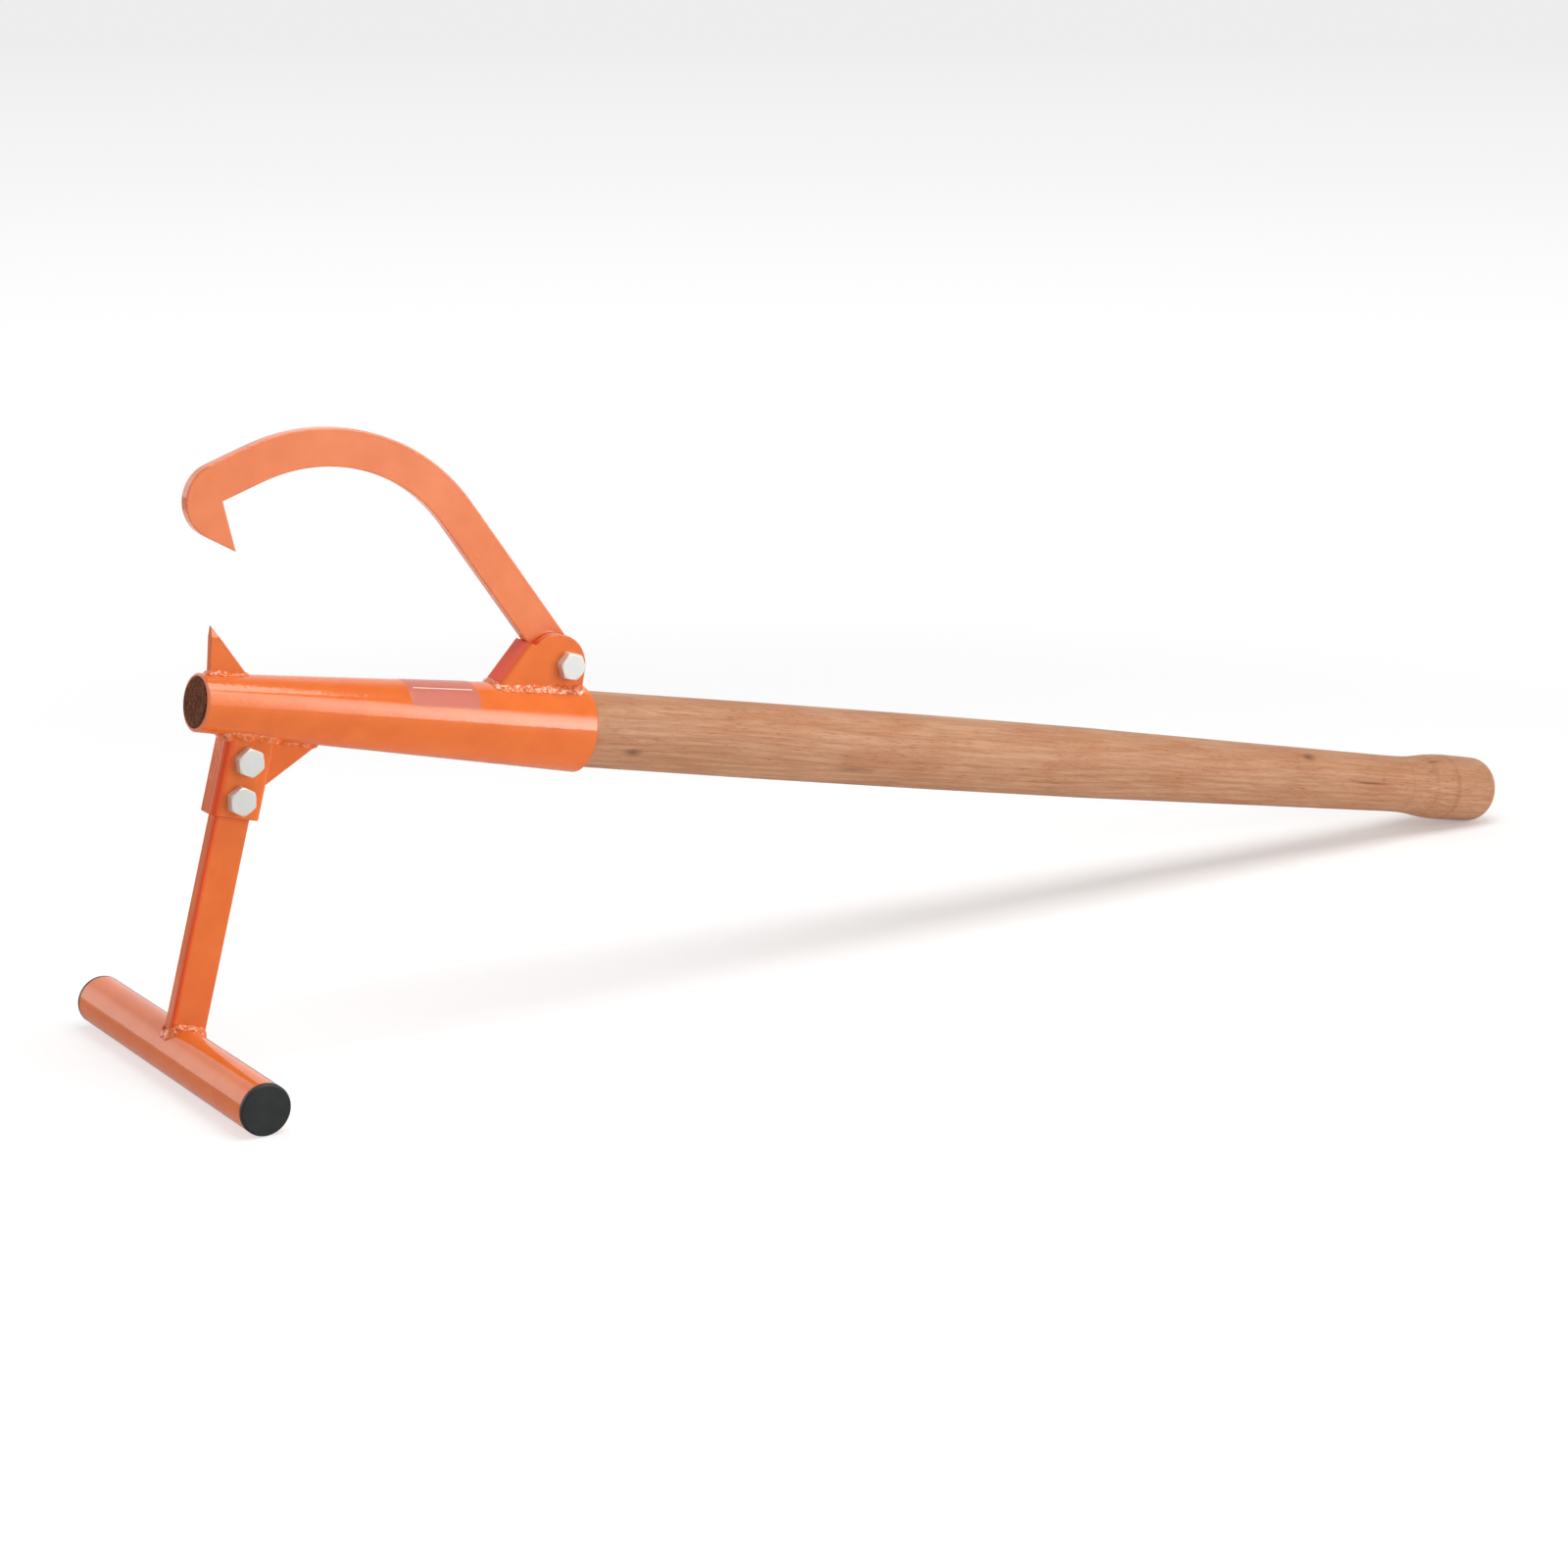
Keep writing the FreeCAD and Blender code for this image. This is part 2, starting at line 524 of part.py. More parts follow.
def make_hook():
    """Swinging hook of one flat bar: straight arm, wide bend, straight nose and a square tooth."""
    body = new_body("hook")
    side = new_sketch(body, "side", "XZ_Plane")
    arm_in = ("-half_hook * sin(arm_slope)", "-half_hook * cos(arm_slope)")
    arm_end = ("half_hook * cos(arm_slope)", "-half_hook * sin(arm_slope)")

    def around_pivot(shift, sign=""):
        return ["pivot_station + " + sign + "(%s)" % shift[0], "pivot_rise + " + sign + "(%s)" % shift[1]]

    def on_bend(radius, slope, sense):
        return ["bend_x + %s(%s) * sin(%s)" % (sense, radius, slope),
                "bend_z + (%s) * cos(%s)" % (radius, slope)]

    inner, outer = "bend_radius - half_hook", "bend_radius + half_hook"
    throat = ["throat_x", "throat_z"]
    tip = ["throat_x + tooth_length * sin(tooth_lean)", "throat_z - tooth_length * cos(tooth_lean)"]
    cheek = ["throat_x + hook_width * cos(cheek_turn)", "throat_z + hook_width * sin(cheek_turn)"]
    brow = ["throat_x - hook_width * sin(nose_slope)", "throat_z + hook_width * cos(nose_slope)"]
    temple = ["throat_x - hook_width * cos(nose_slope)", "throat_z - hook_width * sin(nose_slope)"]
    draw_outline(side, [
        around_pivot(arm_in) + ["half_hook"],
        around_pivot(arm_end) + ["half_hook"],
        around_pivot(arm_in, "-"),
        on_bend(outer, "arm_slope", "") + [outer],
        on_bend(outer, "nose_slope", "-"),
        brow + ["hook_width"],
        temple + ["hook_width"],
        cheek, tip, throat,
        on_bend(inner, "nose_slope", "-") + ["-(%s)" % inner],
        on_bend(inner, "arm_slope", "")])
    add_pad(body, side, "hook_plate", midplane=True)
    half = value_of("hook_plate / 2")
    round_edges(body, "hook_edge", lambda edge: abs(abs(edge.CenterOfMass.y) - half) < half * SAME)
    bore = new_sketch(body, "bore", "XZ_Plane")
    draw_circle(bore, "pivot_station", "pivot_rise", "bolt_radius + hook_running_gap")
    add_pocket(body, bore, midplane=True)
    at_tool_point(body)
    return body


def make_leg_socket():
    """Rectangular tube under the tapered socket, coped to it, bored for the two leg bolts."""
    body = new_body("leg_socket")
    outer = leg_sketch(body, "outer", "-overrun")
    draw_box(outer, "collar_width", "collar_depth", "collar_corner")
    add_pad(body, outer, "collar_length + overrun", reverse=True)
    inner = leg_sketch(body, "inner", "-2 * overrun")
    draw_box(inner, "leg_width + 2 * leg_play", "leg_depth + 2 * leg_play", "leg_corner")
    add_pocket(body, inner, "collar_length + 4 * overrun")
    bolt_bores(body)
    saddle_cut(body)
    at_tool_point(body)
    return body


def bolt_bores(body):
    """Two cross holes for the leg bolts."""
    bores = new_sketch(body, "bores", "XZ_Plane")
    for drop in ("upper_bolt_drop", "lower_bolt_drop"):
        x, z = leg_point("0", drop)
        draw_circle(bores, x, z, "hole_radius")
    add_pocket(body, bores, midplane=True)


def make_gusset():
    """Three-cornered plate that braces the leg socket from behind, its far tip blunt."""
    body = new_body("gusset")
    side = new_sketch(body, "side", "XZ_Plane")
    back = "collar_width / 2"
    draw_outline(side, [
        leg_point(back, "-overrun"), leg_point(back, "gusset_drop"),
        ("gusset_end", "-(%s)" % flank("gusset_end", "gusset_tip")),
        ("gusset_end", "-(%s)" % flank("gusset_end", "-overrun"))])
    add_pad(body, side, "gusset_plate", midplane=True)
    saddle_cut(body)
    at_tool_point(body)
    return body


def make_leg():
    """Flat steel bar with eased corners, bored for its bolts and coped to the foot tube."""
    body = new_body("leg")
    section = leg_sketch(body, "section", "leg_top_gap")
    draw_box(section, "leg_width", "leg_depth", "leg_corner")
    add_pad(body, section, "foot_drop - leg_top_gap", reverse=True)
    bolt_bores(body)
    cope = new_sketch(body, "cope", "XZ_Plane")
    draw_circle(cope, "foot_x", "foot_z", "foot_radius")
    add_pocket(body, cope, midplane=True)
    at_tool_point(body)
    return body


def make_foot_tube():
    """Round cross tube on which the tool rocks."""
    body = new_body("foot_tube")
    ring = new_sketch(body, "ring", "XZ_Plane")
    draw_circle(ring, "foot_x", "foot_z", "foot_radius")
    draw_circle(ring, "foot_x", "foot_z", "foot_radius - foot_wall")
    add_pad(body, ring, "foot_length", midplane=True)
    at_tool_point(body)
    return body


def make_foot_cap(label, side):
    """Moulded end cap: a round face with an eased edge and a hollow plug inside the tube."""
    body = new_body(label)
    plug = "foot_radius - foot_wall - cap_gap"
    profile = new_sketch(body, "profile", "XY_Plane")
    draw_outline(profile, [
        ("-cap_face", "0"), ("0", "0"),
        ("0", plug + " - cap_wall"), ("cap_plug", plug + " - cap_wall"),
        ("cap_plug", plug), ("0", plug), ("0", "foot_radius"),
        ("-(cap_face - cap_edge)", "foot_radius", "cap_edge"),
        ("-cap_face", "foot_radius - cap_edge")])
    add_revolution(body, profile)
    face_out = FreeCAD.Placement(
        FreeCAD.Vector(value_of("foot_x"), side * value_of("foot_length / 2"), value_of("foot_z")),
        FreeCAD.Rotation(FreeCAD.Vector(0, 0, 1), side * -90))
    body.Placement = tool_frame().multiply(face_out)
    return body


def hexagon(sketch):
    """Six corners of a head or nut about the sketch's origin."""
    draw_outline(sketch, [
        ("corner_radius * cos(%d)" % turn, "corner_radius * sin(%d)" % turn)
        for turn in range(0, 360, 60)])


def corner_cut(body, face, sense):
    """Bevels the six corners down from a face at a place along the bolt, as a turned cone does."""
    sketch = new_sketch(body, "corners", "YZ_Plane")
    inner = "head_face_share * bolt_flats / 2"
    outer = "corner_radius + overrun"
    heel = "%s %s (%s - %s) * tan(head_bevel)" % (face, sense, outer, inner)
    draw_outline(sketch, [(face, inner), (face, outer), (heel, outer)])
    add_groove(body, sketch)


def make_bolt(label, x, z, half_depth, turn):
    """Hexagon-head bolt, its head on the near side and its end bevelled."""
    body = new_body(label)
    head = new_sketch(body, "head", "XZ_Plane")
    hexagon(head)
    add_pad(body, head, "head_rise")
    corner_cut(body, "-head_rise", "+")
    shank = new_sketch(body, "shank", "XZ_Plane")
    draw_circle(shank, "0", "0", "bolt_radius")
    add_pad(body, shank, "bolt_length", reverse=True)
    end = value_of("bolt_length")
    round_edges(body, "end_bevel", lambda edge: abs(edge.CenterOfMass.y - end) < end * SAME,
                "PartDesign::Chamfer", "Size")
    at_tool_point(body, x, "-(%s)" % half_depth, z, turn)
    return body


def make_nut(label, x, z, half_depth, turn):
    """Lock nut on the far side: a hexagon with a round collar that holds a nylon ring."""
    body = new_body(label)
    hexagon_part = new_sketch(body, "flats", "XZ_Plane")
    hexagon(hexagon_part)
    add_pad(body, hexagon_part, "nut_rise - nut_collar", reverse=True)
    corner_cut(body, "nut_rise - nut_collar", "-")
    collar = new_sketch(body, "collar", "XZ_Plane")
    draw_circle(collar, "0", "0", "nut_collar_radius")
    add_pad(body, collar, "nut_rise", reverse=True)
    bore = new_sketch(body, "bore", "YZ_Plane")
    thread = "bolt_radius + thread_gap"
    draw_outline(bore, [
        ("-overrun", "0"), ("nut_rise + overrun", "0"),
        ("nut_rise + overrun", "ring_radius - nut_lip / 2"),
        ("nut_rise - nut_lip", "ring_radius - nut_lip / 2"),
        ("nut_rise - nut_lip", "ring_radius"),
        ("nut_rise - nut_collar", "ring_radius"),
        ("nut_rise - nut_collar", thread), ("-overrun", thread)])
    add_groove(body, bore)
    at_tool_point(body, x, half_depth, z, turn)
    return body


def make_nut_ring(label, x, z, half_depth, turn):
    """Nylon ring inside the lock nut's collar, tight round the bolt."""
    body = new_body(label)
    section = new_sketch(body, "section", "YZ_Plane")
    inner = "bolt_radius + thread_gap / 2"
    draw_outline(section, [
        ("nut_rise - nut_collar", inner), ("nut_rise - nut_lip", inner),
        ("nut_rise - nut_lip", "ring_radius"), ("nut_rise - nut_collar", "ring_radius")])
    add_revolution(body, section)
    at_tool_point(body, x, half_depth, z, turn)
    return body


def draw_bead(sketch, length, depth, corner, bead):
    """Outline of a weld: the rounded rectangle that it goes round, grown by the bead."""
    grown = ["%s + 2 * %s" % (side, bead) for side in (length, depth)]
    draw_box(sketch, grown[0], grown[1], "%s + %s" % (corner, bead))


def bevel_bead(body, bead, height_over):
    """Bevels the outer edge of a weld: the edges at the bead's height over what carries it."""
    height = value_of(bead)

    def on_crown(edge):
        return all(abs(height_over(vertex.Point) - height) < height * SAME for vertex in edge.Vertexes)
    round_edges(body, "bead_bevel_share * " + bead, on_crown, "PartDesign::Chamfer", "Size")


def crown_flank_bead(body, bead, sense):
    """Gives a weld on the tapered socket an even height and a bevelled edge, and seats it.

    The turned cut closes in a seam, which the sense puts on the side away from the weld.
    """
    flank_cut(body, "crown", lambda station: "%s(%s)" % (sense, flank(station, bead)),
              lambda station: "%s(%s)" % (sense, flank(station, bead + " + 4 * overrun")))
    slope = math.tan(math.radians(derived.flare))
    bevel_bead(body, bead, lambda point: math.hypot(point.y, point.z)
               - sheet.mouth_radius - slope * point.x)
    saddle_cut(body)


def flank_sketch(body, name, station, rise):
    """A sketch along the socket's upper flank at a station and a height over it."""
    return new_sketch(body, name, "XY_Plane", tilt="flare", axis=(0, -1, 0),
                      x="%s - (%s) * sin(flare)" % (station, rise),
                      z="mouth_radius + (%s) * tan(flare) + (%s) * cos(flare)" % (station, rise))


def make_spike_weld():
    """Weld bead round the foot of the spike."""
    body = new_body("spike_weld")
    ring = flank_sketch(body, "ring", "(spike_station + spike_base / 2 * cos(flare))", "2 * spike_bead")
    draw_bead(ring, "spike_base", "spike_plate", "0", "spike_bead")
    add_pad(body, ring, "2 * spike_bead + overrun", reverse=True)
    crown_flank_bead(body, "spike_bead", "-")
    side = new_sketch(body, "side", "XZ_Plane")
    draw_outline(side, spike_outline())
    add_pocket(body, side, "spike_plate", midplane=True)
    at_tool_point(body)
    return body


def make_bracket_weld():
    """Weld beads along the outside of the bracket's ears and across its web."""
    body = new_body("bracket_weld")
    back = "(ear_x + ear_radius)"
    ring = flank_sketch(body, "ring", "((web_station + %s) / 2)" % back, "2 * bracket_bead")
    draw_bead(ring, "(%s - web_station) / cos(flare)" % back, "2 * half_bracket", "bracket_bend",
              "bracket_bead")
    add_pad(body, ring, "2 * bracket_bead + overrun", reverse=True)
    crown_flank_bead(body, "bracket_bead", "-")
    side = new_sketch(body, "side", "XZ_Plane")
    draw_outline(side, bracket_outline())
    add_pocket(body, side, "2 * half_bracket", midplane=True)
    slot = new_sketch(body, "slot", "XZ_Plane")
    draw_outline(slot, slot_outline())
    add_pocket(body, slot, "2 * half_slot", midplane=True)
    at_tool_point(body)
    return body


def gusset_notch(body):
    """Room for the gusset in a weld that it passes through."""
    notch = new_sketch(body, "notch", "XZ_Plane")
    top, bottom = "overrun - leg_root", "-leg_root - gusset_drop"
    draw_outline(notch, [
        ("leg_station", bottom), ("gusset_end", bottom), ("gusset_end", top), ("leg_station", top)])
    add_pocket(body, notch, "gusset_plate", midplane=True)


def make_leg_socket_weld():
    """Weld bead round the top of the leg socket."""
    body = new_body("leg_socket_weld")
    ring = leg_sketch(body, "ring", "2 * collar_bead")
    draw_bead(ring, "collar_width", "collar_depth", "collar_corner", "collar_bead")
    add_pad(body, ring, "2 * collar_bead + overrun")
    crown_flank_bead(body, "collar_bead", "+")
    core = leg_sketch(body, "core", "-2 * overrun")
    draw_box(core, "collar_width", "collar_depth", "collar_corner")
    add_pocket(body, core, "4 * overrun")
    gusset_notch(body)
    at_tool_point(body)
    return body


def make_gusset_weld():
    """Weld bead along both sides of the gusset's top edge and round its far tip."""
    body = new_body("gusset_weld")
    middle = "(leg_station + gusset_end) / 2"
    ring = new_sketch(body, "ring", "XY_Plane", x=middle, z="-(%s)" % flank(middle, "2 * gusset_bead"),
                      tilt="flare")
    draw_bead(ring, "(gusset_end - leg_station)", "gusset_plate", "0", "gusset_bead")
    add_pad(body, ring, "2 * gusset_bead + overrun")
    crown_flank_bead(body, "gusset_bead", "+")
    trim = new_sketch(body, "trim", "XZ_Plane")
    start = "collar_width / 2 + collar_bead"
    draw_outline(trim, [
        leg_point("-overrun", "-overrun"), leg_point("-overrun", "overrun"),
        leg_point(start, "overrun"), leg_point(start, "-overrun")])
    add_pocket(body, trim, midplane=True)
    gusset_notch(body)
    at_tool_point(body)
    return body


def make_foot_weld():
    """Weld bead round the leg where it meets the foot tube."""
    body = new_body("foot_weld")
    ring = leg_sketch(body, "ring", "foot_drop - foot_radius - 2 * foot_bead")
    draw_bead(ring, "leg_width", "leg_depth", "leg_corner", "foot_bead")
    add_pad(body, ring, "foot_radius + 2 * foot_bead", reverse=True)
    crown = new_sketch(body, "crown", "XZ_Plane")
    draw_circle(crown, "foot_x", "foot_z", "foot_radius + foot_bead")
    draw_circle(crown, "foot_x", "foot_z", "foot_radius + foot_bead + 2 * overrun")
    add_pocket(body, crown, midplane=True)
    bevel_bead(body, "foot_bead", lambda point: math.hypot(
        point.x - derived.foot_x, point.z - derived.foot_z) - sheet.foot_radius)
    cope = new_sketch(body, "cope", "XZ_Plane")
    draw_circle(cope, "foot_x", "foot_z", "foot_radius")
    add_pocket(body, cope, midplane=True)
    core = leg_sketch(body, "core", "leg_top_gap")
    draw_box(core, "leg_width", "leg_depth", "leg_corner")
    add_pocket(body, core, "foot_drop")
    at_tool_point(body)
    return body


pieces = [
    make_handle(), make_sleeve(), make_spike(), make_hook_bracket(), make_hook(),
    make_leg_socket(), make_gusset(), make_leg(), make_foot_tube(),
    make_foot_cap("foot_cap_near", -1), make_foot_cap("foot_cap_far", 1),
    make_spike_weld(), make_bracket_weld(), make_leg_socket_weld(), make_gusset_weld(),
    make_foot_weld(),
]
upper, lower = leg_point("0", "upper_bolt_drop"), leg_point("0", "lower_bolt_drop")
fastenings = [
    ("pivot", "pivot_station", "pivot_rise", "half_bracket"),
    ("upper_leg", upper[0], upper[1], "collar_depth / 2"),
    ("lower_leg", lower[0], lower[1], "collar_depth / 2"),
]
for name, x, z, half_depth in fastenings:
    turn = name + "_turn"
    pieces.append(make_bolt(name + "_bolt", x, z, half_depth, turn))
    pieces.append(make_nut(name + "_nut", x, z, half_depth, turn))
    pieces.append(make_nut_ring(name + "_nut_ring", x, z, half_depth, turn))
doc.recompute()

for item in doc.Objects:
    if "Invalid" in item.State or "Error" in item.State:
        raise RuntimeError(item.Name + " failed: " + ", ".join(item.State))
for piece in pieces:
    if piece.Shape.isNull() or not piece.Shape.isValid():
        raise RuntimeError(piece.Label + " has no valid shape")

os.makedirs("parts", exist_ok=True)
for piece in pieces:
    piece.Shape.exportStep(os.path.join("parts", piece.Label + ".step"))
    print("%-18s solids %d  volume %.0f mm3" % (piece.Label, len(piece.Shape.Solids), piece.Shape.Volume))
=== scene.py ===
"""Dresses the fixed frame of a log lifter: powder coat, turned hardwood, weld beads, bolts, caps and the studio stage.

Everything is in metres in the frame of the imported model, while the sizes below are in millimetres of the tool's own
grid: x along the tool from the rim of the socket's mouth to the butt, y across it, z away from the side that the leg
stands on.
"""
import json
import math
from functools import partial

import bpy
import numpy as np
from bpy.props import FloatProperty, FloatVectorProperty, PointerProperty
from bpy.types import Operator, Panel, PropertyGroup
from mathutils import Matrix


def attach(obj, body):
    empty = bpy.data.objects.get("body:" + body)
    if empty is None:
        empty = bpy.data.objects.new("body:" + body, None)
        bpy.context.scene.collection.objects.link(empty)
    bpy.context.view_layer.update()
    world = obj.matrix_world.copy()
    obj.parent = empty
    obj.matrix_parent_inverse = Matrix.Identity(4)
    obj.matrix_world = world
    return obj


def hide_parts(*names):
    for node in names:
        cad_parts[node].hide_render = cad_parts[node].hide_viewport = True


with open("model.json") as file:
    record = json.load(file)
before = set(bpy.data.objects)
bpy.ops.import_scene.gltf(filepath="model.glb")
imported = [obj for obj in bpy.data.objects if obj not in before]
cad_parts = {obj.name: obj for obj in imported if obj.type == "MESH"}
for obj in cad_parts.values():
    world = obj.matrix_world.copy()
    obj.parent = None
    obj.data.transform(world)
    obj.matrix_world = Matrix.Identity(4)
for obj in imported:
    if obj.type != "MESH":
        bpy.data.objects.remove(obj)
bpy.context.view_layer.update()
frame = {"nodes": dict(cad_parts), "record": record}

bl_info = {
    "name": "Log Lifter",
    "version": (1, 0, 0),
    "blender": (4, 5, 0),
    "location": "3D View > Sidebar > Log Lifter",
    "description": "Paint, turned wood, welds, bolts and studio for a log lifter",
    "category": "Add Mesh",
}

MM = 0.001

# The tool's own grid: its middle line runs through the middle of the butt's face
BUTT = next(m for m in frame["record"]["mounts"] if m["name"] == "butt_face")
TOOL_LENGTH = 1140.0
AXIS = np.array(BUTT["axis"], float)
UP = np.array([-AXIS[2], 0.0, AXIS[0]])
MOUTH = np.array(BUTT["pos_m"], float) - AXIS * TOOL_LENGTH * MM
LEAN = math.atan2(-AXIS[2], AXIS[0])

# Sizes that the frame was made with, where a new piece has to sit on it
MOUTH_RADIUS, RIM_RADIUS, SLEEVE_LENGTH = 18.7, 29.5, 280.0
TAPER = (RIM_RADIUS - MOUTH_RADIUS) / SLEEVE_LENGTH
SPIKE = (5.9, 31.78, 2.5)          # first and last station, half thickness
BRACKET = (210.3, 273.2, 11.0)     # first and last station, half width over the ears
BRACKET_GAP = 5.2                  # half the width that the bracket's weld leaves open behind the hook
WEB_SLOPE = math.radians(58.0)     # of the bracket's front
LEG_STATION, LEG_RAKE, LEG_ROOT = 37.9, math.radians(3.85), 20.162
FOOT_DROP, FOOT_RADIUS = 208.1, 16.85
COLLAR = (17.3, 9.8, 4.4)          # the leg socket: half depth, half width, corner
LEG = (12.5, 5.0, 1.5)             # the same three of the leg
GUSSET_HALF, GUSSET_END = 2.5, 85.8
GUSSET_WELD_DROPS = (3.0, 17.0)    # of the beads between the gusset and the leg socket
PIVOT = (260.5, 43.9)              # station and height of the hook's bolt
BOLT_DROPS = (13.7, 39.0)          # of the leg's bolts
BEAD_STEP = 0.5                    # between the sections of a weld bead


def linear(code):
    """Linear colour of an sRGB hex code, as Blender's sockets take it."""
    values = np.array([int(code[i:i + 2], 16) for i in (1, 3, 5)]) / 255
    return tuple(np.where(values > 0.04045, ((values + 0.055) / 1.055) ** 2.4, values / 12.92))


# ---------------------------------------------------------------- sizes and colours that a user may change

class WeldSizes(PropertyGroup):
    """Leg lengths of the weld beads and the unevenness of the hand that laid them."""
    spike: FloatProperty(name="Spike bead", default=0.0026, unit="LENGTH",
                         description="Leg of the weld round the spike")
    bracket: FloatProperty(name="Bracket bead", default=0.0036, unit="LENGTH",
                           description="Leg of the weld round the bracket")
    collar: FloatProperty(name="Leg socket bead", default=0.0036, unit="LENGTH",
                          description="Leg of the weld round the leg socket")
    gusset: FloatProperty(name="Gusset bead", default=0.0024, unit="LENGTH",
                          description="Leg of the weld along the gusset")
    foot: FloatProperty(name="Foot bead", default=0.0036, unit="LENGTH",
                        description="Leg of the weld round the leg's foot")
    lumps: FloatProperty(name="Lumps", default=0.085, min=0, max=0.4, subtype="FACTOR",
                         description="Unevenness of a bead as a share of its leg")
    ripple_pitch: FloatProperty(name="Ripple pitch", default=0.0026, unit="LENGTH",
                                description="Distance between the ripples of a bead")


class FastenerSizes(PropertyGroup):
    """The M10 bolts."""
    shank_radius: FloatProperty(name="Shank radius", default=0.005, unit="LENGTH",
                                description="Radius over the thread's crests")
    thread_pitch: FloatProperty(name="Thread pitch", default=0.0015, unit="LENGTH",
                                description="Coarse pitch of the thread")
    flats: FloatProperty(name="Across flats", default=0.017, unit="LENGTH",
                         description="Width of the head across its flats")
    head_rise: FloatProperty(name="Head height", default=0.0064, unit="LENGTH", description="Height of the head")
    length: FloatProperty(name="Length", default=0.035, unit="LENGTH", description="Length under the head")


class LabelSizes(PropertyGroup):
    """The plain label on the socket."""
    start: FloatProperty(name="Start", default=0.1415, unit="LENGTH",
                         description="Distance of the label from the mouth")
    length: FloatProperty(name="Length", default=0.0515, unit="LENGTH",
                          description="Length of the label along the tool")
    low: FloatProperty(name="Lower edge", default=math.radians(27.5), unit="ROTATION",
                       description="Angle of the lower edge above level")
    high: FloatProperty(name="Upper edge", default=math.radians(112), unit="ROTATION",
                        description="Angle of the upper edge above level")


class Finishes(PropertyGroup):
    """Colours of the finishes."""
    paint: FloatVectorProperty(name="Paint", default=linear("#E87230"), size=3, subtype="COLOR", min=0, max=1,
                               description="Orange powder coat")
    wood: FloatVectorProperty(name="Wood", default=linear("#C1916E"), size=3, subtype="COLOR", min=0, max=1,
                              description="Ground colour of the oiled hardwood")
    zinc: FloatVectorProperty(name="Zinc", default=linear("#F1F1F0"), size=3, subtype="COLOR", min=0, max=1,
                              description="Bright zinc plating")
    plastic: FloatVectorProperty(name="Caps", default=linear("#222425"), size=3, subtype="COLOR", min=0, max=1,
                                 description="Moulded black plastic")
    label: FloatVectorProperty(name="Label", default=linear("#CC705D"), size=3, subtype="COLOR", min=0, max=1,
                               description="Plain vinyl label")


class StageSettings(PropertyGroup):
    """Lamps, world and camera."""
    key: FloatProperty(name="Overhead softbox", default=23.0, unit="POWER", description="Power of the overhead lamp")
    band: FloatProperty(name="Low band", default=150.0, unit="POWER",
                        description="Power of the long low lamp in front")
    fill: FloatProperty(name="Left fill", default=15.0, unit="POWER",
                        description="Power of the lamp behind on the left")
    sheen: FloatProperty(name="Sheen box", default=32.0, unit="POWER",
                         description="Power of the near box that only shows in reflections")
    world: FloatProperty(name="Ambient", default=0.55, min=0, max=2,
                         description="Strength of the white surroundings on the object")
    lens: FloatProperty(name="Lens", default=81.742, min=10, max=300, description="Focal length of the camera")
    floor_half: FloatProperty(name="Floor", default=22.0, unit="LENGTH", description="Half the side of the floor")


# ---------------------------------------------------------------- geometry in the tool's own grid

def place(points):
    """World points of tool points in mm: the mouth, plus x along the axis, y across and z along the tool's up."""
    points = np.asarray(points, float) * MM
    across = np.array([0.0, 1.0, 0.0])
    return MOUTH + points[..., 0:1] * AXIS + points[..., 1:2] * across + points[..., 2:3] * UP


def leg_point(along, across, drop):
    """Tool points of the leg's grid, which is raked about the leg's root: along the tool, across it, down the leg."""
    x = LEG_STATION + along * math.cos(LEG_RAKE) - drop * math.sin(LEG_RAKE)
    z = -LEG_ROOT - along * math.sin(LEG_RAKE) - drop * math.cos(LEG_RAKE)
    return np.stack(np.broadcast_arrays(x, across, z), -1)


def unit(vectors):
    """The vectors divided by their lengths."""
    return vectors / np.linalg.norm(vectors, axis=-1, keepdims=True)


def square_to(vectors, along):
    """The vectors with their share along the unit vectors taken out, at unit length."""
    return unit(vectors - (vectors * along).sum(-1, keepdims=True) * along)


def path_tangent(path, closed):
    """Unit direction of travel at each point of a path, by the neighbours on both sides."""
    if closed:
        return unit(np.roll(path, -1, 0) - np.roll(path, 1, 0))
    return unit(np.gradient(path, axis=0))


def radius_at(x):
    """Outer radius of the tapered socket at a station."""
    return MOUTH_RADIUS + TAPER * x


def cone_normal(points):
    """Outward unit normal of the tapered socket: the point's own direction from the axis, tipped back by the taper."""
    radius = np.hypot(points[:, 1], points[:, 2])
    return unit(np.stack([-TAPER * radius, points[:, 1], points[:, 2]], -1))


def grid_faces(rows, columns, closed_rows):
    """Quads of a grid whose columns close on themselves, and whose rows do too if closed_rows is true."""
    last = rows if closed_rows else rows - 1
    r, c = np.meshgrid(np.arange(last), np.arange(columns), indexing="ij")
    here, beside = c.ravel(), ((c + 1) % columns).ravel()
    low, high = (r * columns).ravel(), (((r + 1) % rows) * columns).ravel()
    return np.stack([low + here, low + beside, high + beside, high + here], -1)


def end_poles(rows, columns):
    """The two points that follow a grid's own, each with the row of the grid that it closes: the first and the last."""
    first = np.arange(columns)
    return [(rows * columns, first[::-1]), (rows * columns + 1, first + (rows - 1) * columns)]


def new_piece(name, points, quads, poles=(), sharp=None):
    """A mesh object of world points and quads; each pole is a point index and the ring of indices it closes."""
    faces = [tuple(q) for q in quads.tolist()]
    for pole, ring in poles:
        ring = np.asarray(ring)
        faces += [tuple(t) for t in np.stack([np.full(len(ring), pole), ring, np.roll(ring, -1)], -1).tolist()]
    mesh = bpy.data.meshes.new(name)
    mesh.from_pydata(points.tolist(), [], faces)
    mesh.validate()
    mesh.shade_smooth()
    if sharp is not None:
        mesh.set_sharp_from_angle(angle=math.radians(sharp))
    obj = bpy.data.objects.new(name, mesh)
    bpy.context.scene.collection.objects.link(obj)
    return obj


